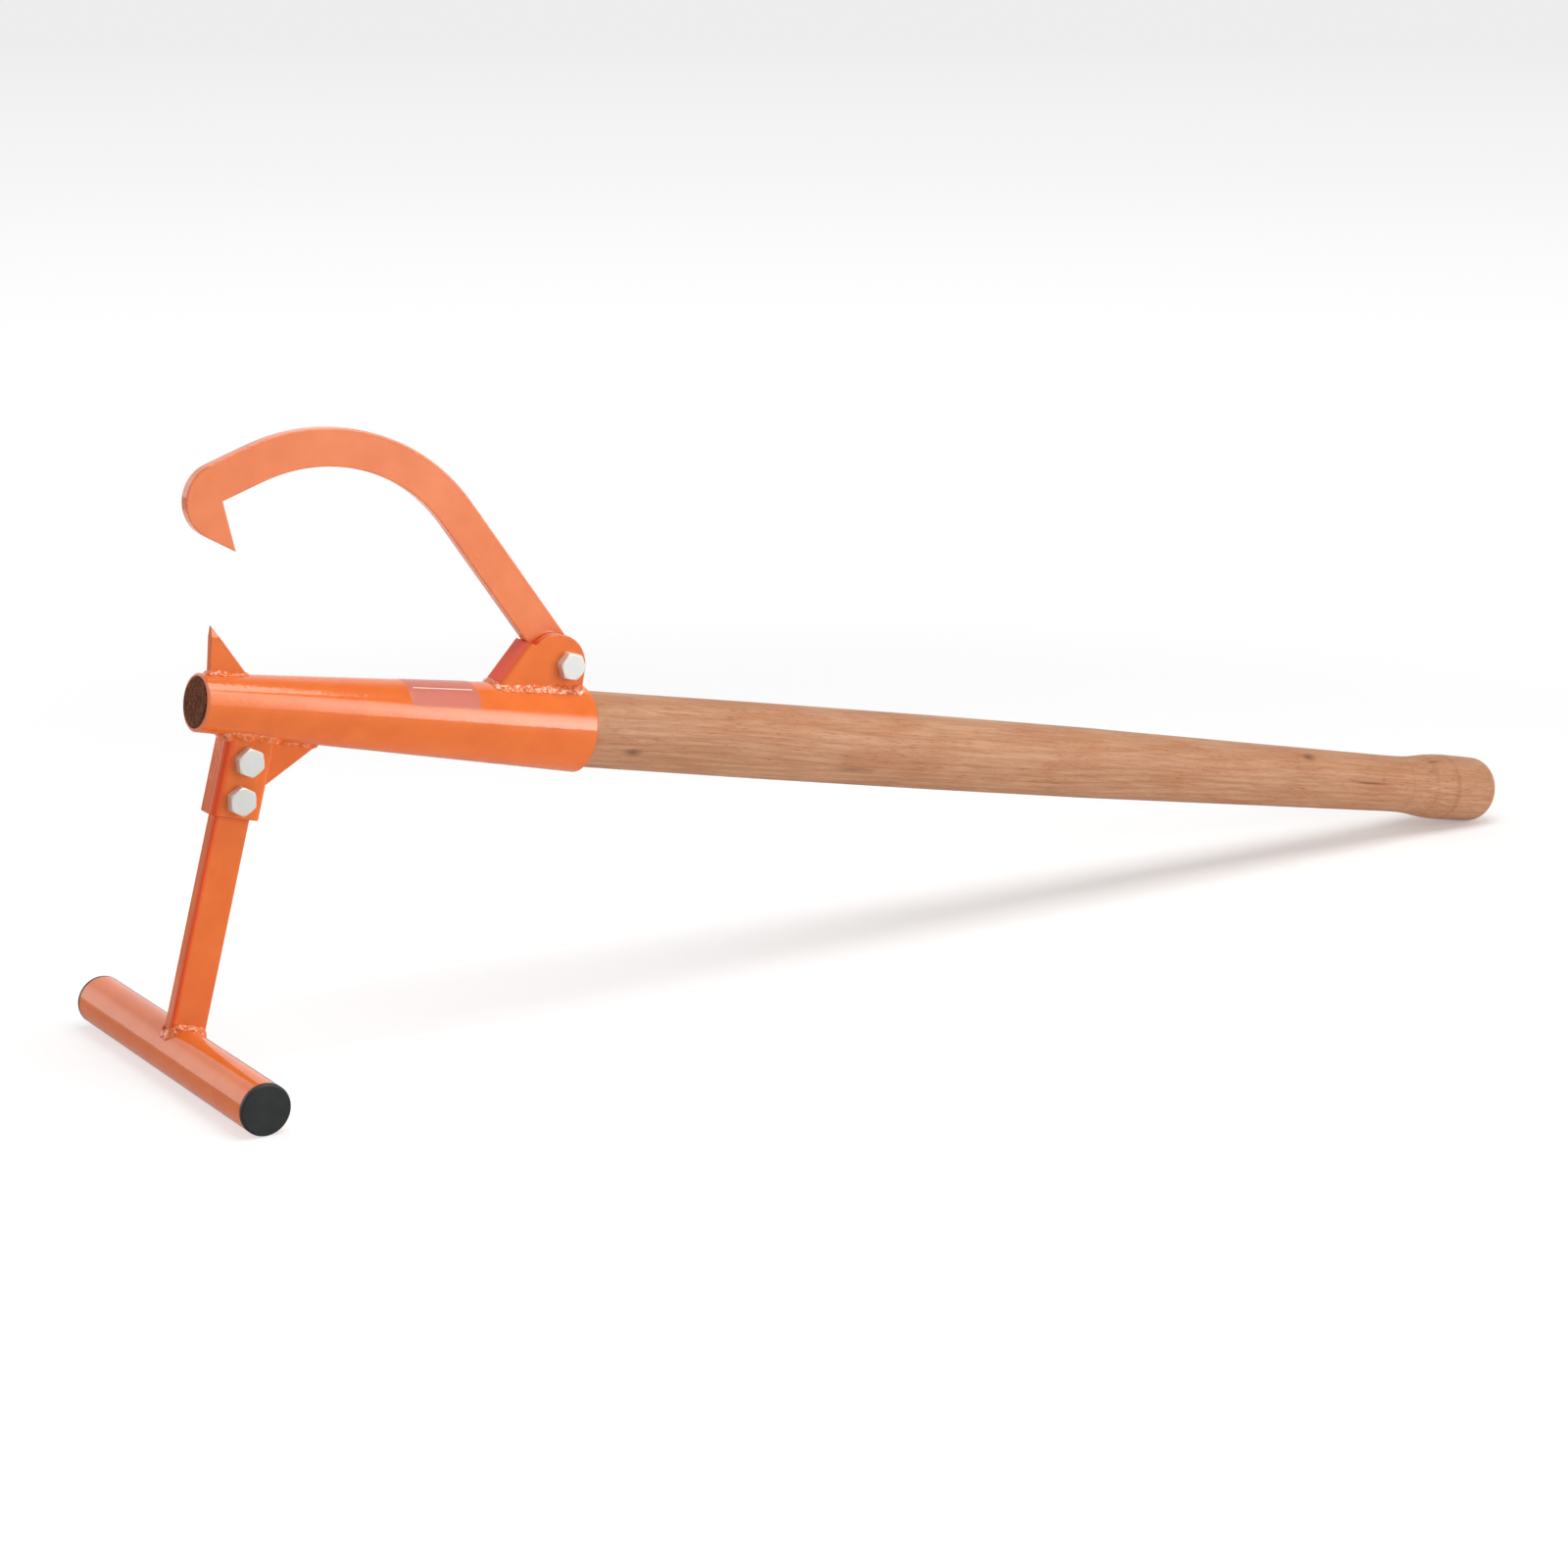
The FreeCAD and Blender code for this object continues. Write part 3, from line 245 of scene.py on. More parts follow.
def dress(obj, material, slot, body, *nodes):
    """Gives a new piece its material and the body it rides on, and hides the nodes it stands for. The slot is not used.
    """
    obj.data.materials.append(material)
    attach(obj, body)
    if nodes:
        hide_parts(*nodes)


def coat(names, material):
    """Puts a material on CAD nodes."""
    for name in names:
        for slot in frame["nodes"][name].material_slots:
            slot.material = material


# ---------------------------------------------------------------- weld beads

def rounded_outline(half_length, half_width, corner, middle=0.0):
    """Points and outward normals of a rounded rectangle about a station, walked anticlockwise in even steps.

    Each corner's arc has its centre a corner radius in from both sides; the walk is cut by arc length.
    """
    turns = np.radians(np.linspace(0, 360, 721))
    normals = np.stack([np.cos(turns), np.sin(turns)], -1)
    centres = np.stack([np.copysign(half_length - corner, np.cos(turns + 1e-6)),
                        np.copysign(half_width - corner, np.sin(turns + 1e-6))], -1)
    walk = centres + corner * normals
    gaps = np.hypot(*np.diff(walk, axis=0).T)
    length = np.concatenate([[0], np.cumsum(gaps)])
    stations = np.linspace(0, length[-1], max(int(length[-1] / BEAD_STEP), 12), endpoint=False)
    points = np.stack([np.interp(stations, length, walk[:, i]) for i in (0, 1)], -1)
    outward = np.stack([np.interp(stations, length, normals[:, i]) for i in (0, 1)], -1)
    points[:, 0] += middle
    return points, unit(outward)


def cut_open(plan, normals, keep):
    """The kept points of a closed outline with one gap, walked from the gap's end round to its start."""
    first = np.flatnonzero(keep & ~np.roll(keep, 1))[0]
    order = np.roll(np.arange(len(plan)), -first)[:int(keep.sum())]
    return plan[order], normals[order]


def lumps(s, turn, length, shortest, longest, seed):
    """Smooth unevenness over the bead: sixty cosines with whole numbers of waves along and round it.

    The longer a wave, the higher it is; the sum has a spread of about one.
    """
    chance = np.random.default_rng(seed)
    waves = np.exp(chance.uniform(math.log(shortest), math.log(longest), 60))
    along = np.maximum(np.round(length / waves), 1)
    round_it = chance.integers(-4, 5, 60)
    phase = chance.uniform(0, 2 * math.pi, 60)
    height = waves ** 0.6
    total = (height * np.cos(2 * math.pi * along * s[..., None] / length + round_it * turn[..., None] + phase)).sum(-1)
    return total / math.sqrt((height ** 2).sum() / 2)


def bead(path, side_a, side_b, leg, closed, seed, settings):
    """Tube of one weld bead: at each point of the joint line a section in the plane square to it.

    side_a and side_b point away from the line along the two surfaces. Seen from the line, the section reaches one leg
    along each surface; between them it follows their chord, a fifth of the way out to the circle; behind the surfaces
    it shrinks and lies inside the metal. leg is one length or one for each point, and wanders by a tenth. Lumps,
    ripples bent like a fish scale and a few sunk pits change the reach. An open bead thins out at both ends.
    """
    count, round_count = len(path), 30
    gaps = np.linalg.norm(np.diff(path, axis=0), axis=1)
    s = np.concatenate([[0], np.cumsum(gaps)])
    length = s[-1] + (gaps[0] if closed else 0)
    middle = unit(side_a + side_b)
    across = unit(side_a - side_b)
    half = np.arccos(np.clip((side_a * side_b).sum(-1), -1, 1))[:, None] / 2
    turn = np.linspace(-math.pi, math.pi, round_count, endpoint=False)[None]
    turn, along = np.broadcast_arrays(turn, s[:, None])
    part = np.abs(turn) / half
    leg = np.broadcast_to(np.asarray(leg, float), (count,))[:, None]
    leg = leg * (1 + 0.10 * lumps(along[:, :1], turn[:, :1], length, 7.0, 28.0, seed + 31))

    chord = np.cos(half) / np.cos(np.minimum(np.abs(turn), half))
    face = chord + 0.22 * (1 - chord)
    sunk = np.clip((part - 1) * half / math.radians(55), 0, 1)
    reach = face * (1 - 0.62 * sunk * sunk * (3 - 2 * sunk))

    rough = settings.lumps * lumps(along, turn, length, 3.6, 16.0, seed)
    phase = 2 * math.pi * along / (settings.ripple_pitch / MM) + 0.9 * lumps(along, turn, length, 9, 30, seed + 7)
    rough = rough + 0.035 * np.cos(phase + 1.6 * part ** 2)
    chance = np.random.default_rng(seed + 100)
    pit_radius, pit_spacing = 0.9, 11
    for _ in range(max(int(length / pit_spacing), 2)):
        pit_s, pit_turn = chance.uniform(0, length), chance.uniform(-0.8, 0.8)
        away = ((along - pit_s) / pit_radius) ** 2 + ((turn - pit_turn) * leg / pit_radius) ** 2
        rough = rough - chance.uniform(0.12, 0.26) * np.exp(-away)
    reach = reach * leg * (1 + rough * (1 - 0.75 * sunk))
    if not closed:
        ends = np.clip(np.minimum(s, s[-1] - s)[:, None] / (1.1 * leg), 0, 1)
        reach = reach * np.sqrt(1 - (1 - ends) ** 2 * 0.98)

    points = path[:, None] + reach[..., None] * (np.cos(turn)[..., None] * middle[:, None]
                                                 + np.sin(turn)[..., None] * across[:, None])
    points = points.reshape(-1, 3)
    quads, poles = grid_faces(count, round_count, closed), []
    if not closed:
        points = np.concatenate([points, path[:1], path[-1:]])
        poles = end_poles(count, round_count)
    if (np.cross(across, middle) * path_tangent(path, closed)).sum(-1).mean() <= 0:
        quads = quads[:, ::-1]
        poles = [(pole, ring[::-1]) for pole, ring in poles]
    return points, quads, poles


def join_beads(name, beads):
    """One piece of several beads, each a set of points, quads and poles."""
    points, quads, poles, start = [], [], [], 0
    for bead_points, bead_quads, bead_poles in beads:
        points.append(bead_points)
        quads.append(bead_quads + start)
        poles += [(pole + start, ring + start) for pole, ring in bead_poles]
        start += len(bead_points)
    return new_piece(name, place(np.concatenate(points)), np.concatenate(quads), poles)


def on_cone(plan, normals, sense, closed, leg, seed, settings):
    """Bead where an upright wall meets the tapered socket: sense 1 on its top and -1 below it.

    The joint line is the plan's outline lifted to the cone, y squared plus z squared being the radius squared.
    """
    x, y = plan[:, 0], plan[:, 1]
    path = np.stack([x, y, sense * np.sqrt(radius_at(x) ** 2 - y ** 2)], -1)
    travel = path_tangent(path, closed)
    flat = np.stack([normals[:, 0], normals[:, 1], 0 * x], -1)
    normal = cone_normal(path)
    away = flat - (flat * normal).sum(-1, keepdims=True) * normal
    wall = np.tile([0.0, 0.0, float(sense)], (len(x), 1))
    return bead(path, square_to(wall, travel), square_to(away, travel), leg, closed, seed, settings)


def ring_of_leg(half_length, half_width, corner, leg, at_foot, seed, settings):
    """Bead round the leg or its socket, whose outline runs down the leg's grid to the cone or to the foot tube.

    On the cone the drop solves the circle's equation at that station, a quadratic in the drop; on the tube it is the
    axis' drop less the chord's height.
    """
    plan, normals = rounded_outline(half_length, half_width, corner)
    along, across = plan[:, 0], plan[:, 1]
    sin, cos = math.sin(LEG_RAKE), math.cos(LEG_RAKE)
    forward, down = np.array([cos, 0, -sin]), np.array([-sin, 0, -cos])
    if at_foot:
        path = leg_point(along, across, FOOT_DROP - np.sqrt(FOOT_RADIUS ** 2 - along ** 2))
        normal = unit(path - leg_point(0 * along, across, FOOT_DROP + 0 * along))
        wall = -down
    else:
        start = leg_point(along, across, 0 * along)
        reach = radius_at(start[:, 0])
        a = cos ** 2 - (TAPER * sin) ** 2
        b = -2 * start[:, 2] * cos + 2 * reach * TAPER * sin
        c = start[:, 2] ** 2 + across ** 2 - reach ** 2
        path = leg_point(along, across, (-b + np.sqrt(b * b - 4 * a * c)) / (2 * a))
        normal = cone_normal(path)
        wall = down
    travel = path_tangent(path, True)
    flat = normals[:, :1] * forward + normals[:, 1:] * np.array([0.0, 1.0, 0.0])
    away = flat - (flat * normal).sum(-1, keepdims=True) * normal
    wall = np.tile(wall, (len(along), 1))
    return bead(path, square_to(wall, travel), square_to(away, travel), leg, True, seed, settings)


# ---------------------------------------------------------------- bolts

def bolt(name, x, z, half_depth, turn, sizes):
    """One hexagon bolt along y: rings of points, each a distance along the bolt and a reach for every turn.

    The head's reach is the smaller of the hexagon, flats over cosine of the angle to the nearest flat, and a 28 degree
    cone; the shank's reach dips by a triangle wave of the pitch that climbs one pitch a turn, and fades at both ends.
    """
    rounds = 144
    turns = np.linspace(0, 2 * math.pi, rounds, endpoint=False)[None]
    flats, rise = sizes.flats / MM / 2, sizes.head_rise / MM
    shank, length, pitch = sizes.shank_radius / MM, sizes.length / MM, sizes.thread_pitch / MM
    from_flat = (turns - math.radians(30)) % math.radians(60)
    from_flat = np.minimum(from_flat, math.radians(60) - from_flat)
    hexagon = flats / np.cos(from_flat)
    hexagon = hexagon - 0.35 * np.clip((np.degrees(from_flat) - 26) / 4, 0, 1) ** 2
    stations, reaches = [], []
    for share in (0.4, 0.8, 0.96):
        stations.append(np.full((1, rounds), -rise))
        reaches.append(np.full((1, rounds), share * flats))
    depth = np.concatenate([np.linspace(0, 1, 8) ** 1.5 * 1.4, np.linspace(1.7, rise, 6)])[:, None]
    cone = 0.985 * flats + depth / math.tan(math.radians(28))
    soft = np.minimum(hexagon, cone) - 0.05 * np.exp(-((hexagon - cone) / 0.2) ** 2)
    stations.append(np.broadcast_to(depth - rise, soft.shape))
    reaches.append(soft)
    along = np.arange(0, length - 0.99, 0.125)[:, None]
    fade = np.clip((along - 2.5) / 2, 0, 1) * np.clip((length - along) / 1.2, 0, 1)
    climb = (along / pitch + turns / (2 * math.pi)) % 1
    notch = 0.61 * pitch * np.clip(1.25 * np.abs(2 * climb - 1) - 0.12, 0, 1)
    stations.append(np.broadcast_to(along, climb.shape))
    reaches.append(shank - fade * notch)
    end = np.array([length - 0.9, length - 0.45, length - 0.05, length])[:, None]
    taper = np.array([0.0, 0.4, 0.95, 1.6])[:, None]
    stations.append(np.broadcast_to(end, (4, rounds)))
    reaches.append(np.broadcast_to(shank - taper, (4, rounds)))
    station, reach = np.concatenate(stations), np.concatenate(reaches)
    facing = turns - turn
    points = np.stack([x + reach * np.cos(facing), station - half_depth, z + reach * np.sin(facing)], -1)
    points = np.concatenate([points.reshape(-1, 3), [[x, -rise - half_depth, z], [x, length - half_depth, z]]])
    rows = len(station)
    return new_piece(name, place(points), grid_faces(rows, rounds, False), end_poles(rows, rounds), sharp=20)


# ---------------------------------------------------------------- materials

def add_node(tree, kind, inputs=(), output=0, stops=(), **fields):
    """Adds a node with its settings and links, and gives the output that is asked for, by number or name.

    inputs are values or other nodes' outputs, in the order of the sockets or by number or name; a single number on a
    colour socket is a grey. stops are the places and colours, or greys, of a colour ramp; fields are its settings.
    """
    node = tree.nodes.new("ShaderNode" + kind)
    for field, value in fields.items():
        setattr(node, field, value)
    for _ in stops[2:]:
        node.color_ramp.elements.new(0.5)
    for element, (position, colour) in zip(node.color_ramp.elements if stops else (), stops):
        element.position = position
        element.color = (*np.broadcast_to(colour, 3), 1.0)
    for key, value in inputs.items() if isinstance(inputs, dict) else enumerate(inputs):
        if isinstance(value, bpy.types.NodeSocket):
            tree.links.new(value, node.inputs[key])
        elif node.inputs[key].type == "RGBA":
            node.inputs[key].default_value = (*np.broadcast_to(value, 3), 1.0)
        else:
            node.inputs[key].default_value = value
    return node.outputs[output] if node.outputs else None


def bare_tree(owner):
    """Empties the nodes of a material, world or lamp, and gives add_node for that tree."""
    owner.use_nodes = True
    owner.node_tree.nodes.clear()
    return partial(add_node, owner.node_tree)


def new_material(name):
    """A material without nodes, add_node for its tree, and the tool's own grid in metres as texture coordinates."""
    material = bpy.data.materials.new(name)
    add = bare_tree(material)
    grid = add("Mapping", {"Vector": add("TexCoord", output="Object"), "Location": tuple(MOUTH),
                           "Rotation": (0.0, LEAN, 0.0)}, vector_type="TEXTURE")
    return material, add, grid


def layered(add, colour, layers):
    """The colour with layers laid over it in turn, each a mask and a colour."""
    for mask, over in layers:
        colour = add("Mix", {0: mask, 6: colour, 7: over}, 2, data_type="RGBA")
    return colour


def powder_coat(name, paint, edge, lump_height, scale=0.0, bar=None, web=None):
    """Glossy polyester powder coat, sprayed on hot-rolled steel and baked: thick, wet looking, faintly dimpled.

    The flow of the melted powder gives dimples 2 to 3 mm wide, drawn as they are; the mill scale below gives slow
    waves about 25 mm long; the melt draws back from sharp edges, which therefore show as narrow darker lines. The skin
    is smooth enough to mirror lamps and floor. The socket's cut rim has no such line and is a little pale. Over a
    weld, pale patches 2 to 5 mm wide stand both for scale left on the bead and for painted highlights on its lumps,
    and darker patches are painted shade of its pits; a noise places both. On a bar of the leg, given by its half
    depth, half width and the width of its corner, the leading corners are darkened to a deep red as painted shade; on
    the bracket's sloping web, given by its outward direction, the colour is darkened all over as painted shade of its
    recess between the ears, and the coat is dull there.
    """
    material, add, grid = new_material(name)
    paint = np.array(paint)
    slow, fine, dust = (
        add("TexNoise", {"Vector": grid, "Scale": cells_per_metre, "Detail": detail, "Roughness": rough})
        for cells_per_metre, detail, rough in ((38.0, 3.0, 0.55), (420.0, 1.5, 0.5), (950.0, 2.0, 0.6)))
    colour = add("ValToRGB", [slow], stops=[(0.30, paint * [0.96, 0.92, 0.88]), (0.5, paint),
                                            (0.72, np.minimum(paint * [1.04, 1.10, 1.15], 1))])
    specks = add("ValToRGB", [dust], stops=[(0.76, 0.0), (0.84, 0.25)])

    # The thin darker line: where the rounded normal leaves the flat one, but not on the cut rim of the mouth
    soft = add("Bevel", {"Radius": edge}, samples=8)
    flat = add("NewGeometry", output="Normal")
    turned = add("VectorMath", [soft, flat], "Value", operation="DOT_PRODUCT")
    rim = add("ValToRGB", [turned], stops=[(0.84, 0.8), (0.985, 0.0)])
    rim_depth, rim_radius = 0.9 * MM, 21 * MM
    along = add("Math", [add("SeparateXYZ", [grid], "X")], operation="ABSOLUTE")
    from_mouth = add("VectorMath", [grid], "Value", operation="LENGTH")
    cut_edge = add("Math", [add("Math", [along, rim_depth], operation="LESS_THAN"),
                            add("Math", [from_mouth, rim_radius], operation="LESS_THAN")], operation="MULTIPLY")
    rim = add("Math", [rim, add("Math", [1.0, cut_edge], operation="SUBTRACT")], operation="MULTIPLY")
    colour = layered(add, colour, (
        (specks, paint * 0.62),
        (rim, paint * [0.52, 0.34, 0.30]),
        (add("Math", [cut_edge, 0.15], operation="MULTIPLY"), linear("#FFD2B8"))))
    rough = add("Math", [fine, 0.08, 0.05], operation="MULTIPLY_ADD")

    # Painted shade: the leading corners of the leg and of its socket are darkened towards deep red.
    if bar:
        leg_grid = add("Mapping", {"Vector": grid, "Location": (LEG_STATION * MM, 0.0, -LEG_ROOT * MM),
                                   "Rotation": (0.0, LEG_RAKE, 0.0)}, vector_type="TEXTURE")
        forward = add("SeparateXYZ", [leg_grid], "X")
        corner_shade = add("Math", [forward, 0.0], operation="LESS_THAN")
        for off_axis, half in ((forward, bar[0]), (add("SeparateXYZ", [leg_grid], "Y"), bar[1])):
            inside = add("Math", [half * MM, add("Math", [off_axis], operation="ABSOLUTE")], operation="SUBTRACT")
            share = add("Math", [inside, bar[2] * MM], operation="DIVIDE")
            share = add("Math", [1.6, share], operation="SUBTRACT", use_clamp=True)
            corner_shade = add("Math", [corner_shade, share], operation="MULTIPLY")
        corner_shade = add("Math", [corner_shade, 0.9], operation="MULTIPLY")
        colour = layered(add, colour, [(corner_shade, paint * [0.98, 0.40, 0.10])])
    # Painted shade: the bracket's web, recessed between the ears, is darkened all over; only its roughness is the
    # coat's own.
    if web is not None:
        facing = add("VectorMath", [flat, web], "Value", operation="DOT_PRODUCT")
        thick = add("ValToRGB", [facing], stops=[(0.90, 0.0), (0.97, 1.0)])
        thick = add("Math", [thick, 0.85], operation="MULTIPLY")
        colour = layered(add, colour, [(thick, paint * [0.98, 0.24, 0.0])])
        rough = add("Math", [rough, add("Math", [thick, 0.6], operation="MULTIPLY")], operation="MAXIMUM")
    # Pale patches stand for weld scale and for painted highlights; the darker patches are painted shade of pits.
    if scale:
        patch = add("TexNoise", {"Vector": grid, "Scale": 210.0, "Detail": 2.0, "Roughness": 0.6})
        colour = layered(add, colour, (
            (add("ValToRGB", [patch], stops=[(0.33, 0.6), (0.43, 0.0)]), paint * [0.60, 0.38, 0.30]),
            (add("ValToRGB", [patch], stops=[(0.53, 0.0), (0.62, scale)]), linear("#FFD2B8"))))

    waves = add("Bump", {"Height": slow, "Distance": lump_height, "Strength": 1.0, "Normal": soft})
    dimples = add("Bump", {"Height": fine, "Distance": 0.05 * MM, "Strength": 1.0, "Normal": waves})
    shader = add("BsdfPrincipled", {"Base Color": colour, "Roughness": rough, "IOR": 1.5, "Specular IOR Level": 0.65,
                                    "Normal": dimples})
    add("OutputMaterial", {"Surface": shader})
    return material


def turned_hardwood(name, wood):
    """Ash or beech turned between centres, sanded and wiped with clear oil: a dull sheen over grain along the tool.

    Growth rings about 5 mm apart lie nearly along the handle, so the turned face shows long slanting bands, with
    fibre streaks 30 to 80 mm long and under 2 mm wide along them. Vessels show as dark dashes about 8 mm long and
    0.7 mm wide, about twice their real width so that they show, crowded where the wood is darker. Slow clouds and a
    few pin knots break the ground, and the lathe left three faint burn rings near the butt. The sawn end in the
    socket's mouth is dark with paint mist, dirt and end grain.
    """
    material, add, grid = new_material(name)
    wood = np.array(wood)
    station = add("SeparateXYZ", [grid], "X")
    fields = {}
    for field, cells_per_metre, detail, rough, swirl in (
            ("wander", (3.6, 15.0, 15.0), 3.0, 0.5, 0.0), ("cloud", (5.0, 30.0, 30.0), 4.0, 0.6, 0.4),
            ("streak", (30.0, 520.0, 520.0), 4.0, 0.65, 0.0), ("fibre", (13.0, 640.0, 640.0), 3.0, 0.7, 0.0),
            ("pores", (120.0, 1500.0, 1500.0), 1.0, 0.5, 0.0), ("blush", (14.0, 42.0, 42.0), 3.0, 0.6, 0.8)):
        stretched = add("Mapping", {"Vector": grid, "Scale": cells_per_metre})
        fields[field] = add("TexNoise", {"Vector": stretched, "Scale": 1.0, "Detail": detail, "Roughness": rough,
                                         "Distortion": swirl})
    wander, cloud, streak, fibre, pores, blush = fields.values()

    # Rings: cylinders about a line that slants past the handle, counted by distance and bent by the slow wander
    heart = add("VectorMath", [add("Mapping", {"Vector": grid, "Scale": (0.05, 1.0, 1.0)}), (0.0, 0.052, -0.085)],
                operation="ADD")
    rings_per_metre = 210.0
    rings = add("Math", [add("VectorMath", [heart], "Value", operation="LENGTH"), rings_per_metre],
                operation="MULTIPLY")
    rings = add("Math", [wander, 3.6, rings], operation="MULTIPLY_ADD")
    late = add("ValToRGB", [add("Math", [rings], operation="FRACT")],
               stops=[(0.0, 0.62), (0.10, 0.10), (0.55, 0.0), (0.90, 0.50), (1.0, 0.62)])
    crowded = add("ValToRGB", [blush], stops=[(0.35, 1.0), (0.60, 0.35)])
    vessels = add("ValToRGB", [pores], stops=[(0.62, 0.0), (0.68, 0.68)])

    # Pin knots and dark flecks: x, y, z, width and run in mm, and depth
    marks = 0.0
    for x, y, z, width, run, depth in (
            (934.9, -13.9, 18.8, 2.6, 5.5, 0.85), (312.9, -23.6, -9.8, 2.4, 6.0, 0.8),
            (999.3, -22.3, 3.0, 0.8, 17.0, 0.9), (1071.8, -11.2, 21.8, 1.3, 6.0, 0.75),
            (1058.7, -22.4, 10.0, 1.4, 4.0, 0.7), (1064.0, -19.0, 15.0, 1.0, 5.0, 0.6),
            (497.0, -23.2, -11.8, 2.2, 14.0, 0.45), (640.0, -20.0, -12.0, 1.1, 9.0, 0.5),
            (470.0, -15.0, 19.5, 1.2, 8.0, 0.5), (760.0, 18.0, 14.0, 2.0, 6.0, 0.7)):
        away = add("VectorMath", [grid, (x * MM, y * MM, z * MM)], operation="SUBTRACT")
        away = add("VectorMath", [away, (0.6 / (run * MM), 0.6 / (width * MM), 0.6 / (width * MM))],
                   operation="MULTIPLY")
        away = add("VectorMath", [away], "Value", operation="LENGTH")
        spot = add("Math", [1.0, away], operation="SUBTRACT", use_clamp=True)
        marks = add("Math", [marks, add("Math", [spot, depth], operation="MULTIPLY")], operation="MAXIMUM")

    # Burn rings: station and half width in metres, and depth, each swung a little by the slow wander
    burns = []
    for middle, half, depth in ((1.092, 0.0040, 0.60), (1.070, 0.0030, 0.35), (1.046, 0.0025, 0.25)):
        swung = add("Math", [wander, 0.006, middle - 0.003], operation="MULTIPLY_ADD")
        beside = add("Math", [add("Math", [station, swung], operation="SUBTRACT")], operation="ABSOLUTE")
        burn = add("Math", [1.0, add("Math", [beside, half], operation="DIVIDE")], operation="SUBTRACT", use_clamp=True)
        burn = add("Math", [burn, add("Math", [crowded, depth], operation="MULTIPLY")], operation="MULTIPLY")
        burns.append((burn, wood * [0.55, 0.36, 0.26]))

    end_grain = add("TexNoise", {"Vector": grid, "Scale": 620.0, "Detail": 5.0, "Roughness": 0.8})
    end_colour = add("ValToRGB", [end_grain], stops=[(0.34, linear("#371A0F")), (0.46, linear("#5C3220")),
                                                     (0.58, linear("#7C4830")), (0.72, linear("#B08466"))])
    at_end = add("Math", [station, 1.2 * MM], operation="LESS_THAN")
    ground = add("ValToRGB", [cloud], stops=[(0.25, wood * [0.84, 0.80, 0.77]), (0.45, wood),
                                             (0.75, np.minimum(wood * [1.08, 1.12, 1.16], 1))])
    colour = layered(add, ground, (
        (add("Math", [late, 0.85], operation="MULTIPLY"), wood * [0.78, 0.62, 0.52]),
        (add("ValToRGB", [blush], stops=[(0.36, 0.62), (0.56, 0.0)]), wood * [0.86, 0.64, 0.52]),
        (add("ValToRGB", [blush], stops=[(0.58, 0.0), (0.72, 0.35)]), wood * [1.10, 1.10, 1.18]),
        (add("ValToRGB", [streak], stops=[(0.36, 0.52), (0.56, 0.0)]), wood * [0.66, 0.52, 0.44]),
        (add("ValToRGB", [fibre], stops=[(0.36, 0.50), (0.50, 0.0)]), wood * [0.74, 0.56, 0.44]),
        (add("Math", [crowded, vessels], operation="MULTIPLY"), wood * [0.42, 0.28, 0.20]),
        (marks, wood * [0.22, 0.13, 0.09]),
        *burns,
        (at_end, end_colour)))

    relief = add("Math", [add("Math", [streak, 0.6], operation="MULTIPLY"),
                          add("Math", [pores, -0.5], operation="MULTIPLY")], operation="ADD")
    sawn = add("Math", [at_end, add("Math", [end_grain, 2.2], operation="MULTIPLY")], operation="MULTIPLY")
    relief = add("Math", [relief, sawn], operation="ADD")
    normal = add("Bump", {"Height": relief, "Distance": 0.22 * MM, "Strength": 1.0})
    rough = add("Math", [add("Math", [streak, 0.22, 0.42], operation="MULTIPLY_ADD"), at_end], operation="MAXIMUM")
    shader = add("BsdfPrincipled", {"Base Color": colour, "Roughness": rough, "IOR": 1.45, "Normal": normal,
                                    "Specular IOR Level": 0.35})
    add("OutputMaterial", {"Surface": shader})
    return material


def bright_zinc(name, zinc):
    """Bright zinc electroplated on cold-formed steel and passivated: a pale metal with a faint blue and straw bloom.

    The drawn bar leaves fine lines 0.3 mm apart, drawn at 0.5 mm; the bloom is 4 mm wide.
    """
    material, add, grid = new_material(name)
    zinc = np.array(zinc)
    bloom = add("TexNoise", {"Vector": grid, "Scale": 240.0, "Detail": 2.0})
    stretched = add("Mapping", {"Vector": grid, "Scale": (2000.0, 260.0, 2000.0)})
    lines = add("TexNoise", {"Vector": stretched, "Scale": 1.0, "Detail": 2.0})
    colour = add("ValToRGB", [bloom], stops=[(0.35, zinc * [0.93, 0.97, 1.0]), (0.65, zinc * [1.0, 0.97, 0.88])])
    rough = add("Math", [lines, 0.20, 0.24], operation="MULTIPLY_ADD")
    soft = add("Bevel", {"Radius": 0.3 * MM}, samples=8)
    normal = add("Bump", {"Height": lines, "Distance": 0.04 * MM, "Strength": 1.0, "Normal": soft})
    shader = add("BsdfPrincipled", {"Base Color": colour, "Metallic": 0.55, "Roughness": rough, "Normal": normal})
    add("OutputMaterial", {"Surface": shader})
    return material


def moulded_black(name, plastic):
    """Polyethylene moulded in a spark-eroded tool: soft black with a fine even grain 0.6 mm wide and a satin sheen."""
    material, add, grid = new_material(name)
    plastic = np.array(plastic)
    grain = add("TexNoise", {"Vector": grid, "Scale": 1600.0, "Detail": 2.0})
    worn = add("TexNoise", {"Vector": grid, "Scale": 120.0, "Detail": 3.0})
    colour = add("ValToRGB", [worn], stops=[(0.3, plastic * 0.85), (0.7, plastic * 1.25)])
    rough = add("Math", [worn, 0.16, 0.38], operation="MULTIPLY_ADD")
    soft = add("Bevel", {"Radius": 0.6 * MM}, samples=8)
    normal = add("Bump", {"Height": grain, "Distance": 0.06 * MM, "Strength": 1.0, "Normal": soft})
    shader = add("BsdfPrincipled", {"Base Color": colour, "Roughness": rough, "IOR": 1.5, "Normal": normal})
    add("OutputMaterial", {"Surface": shader})
    return material


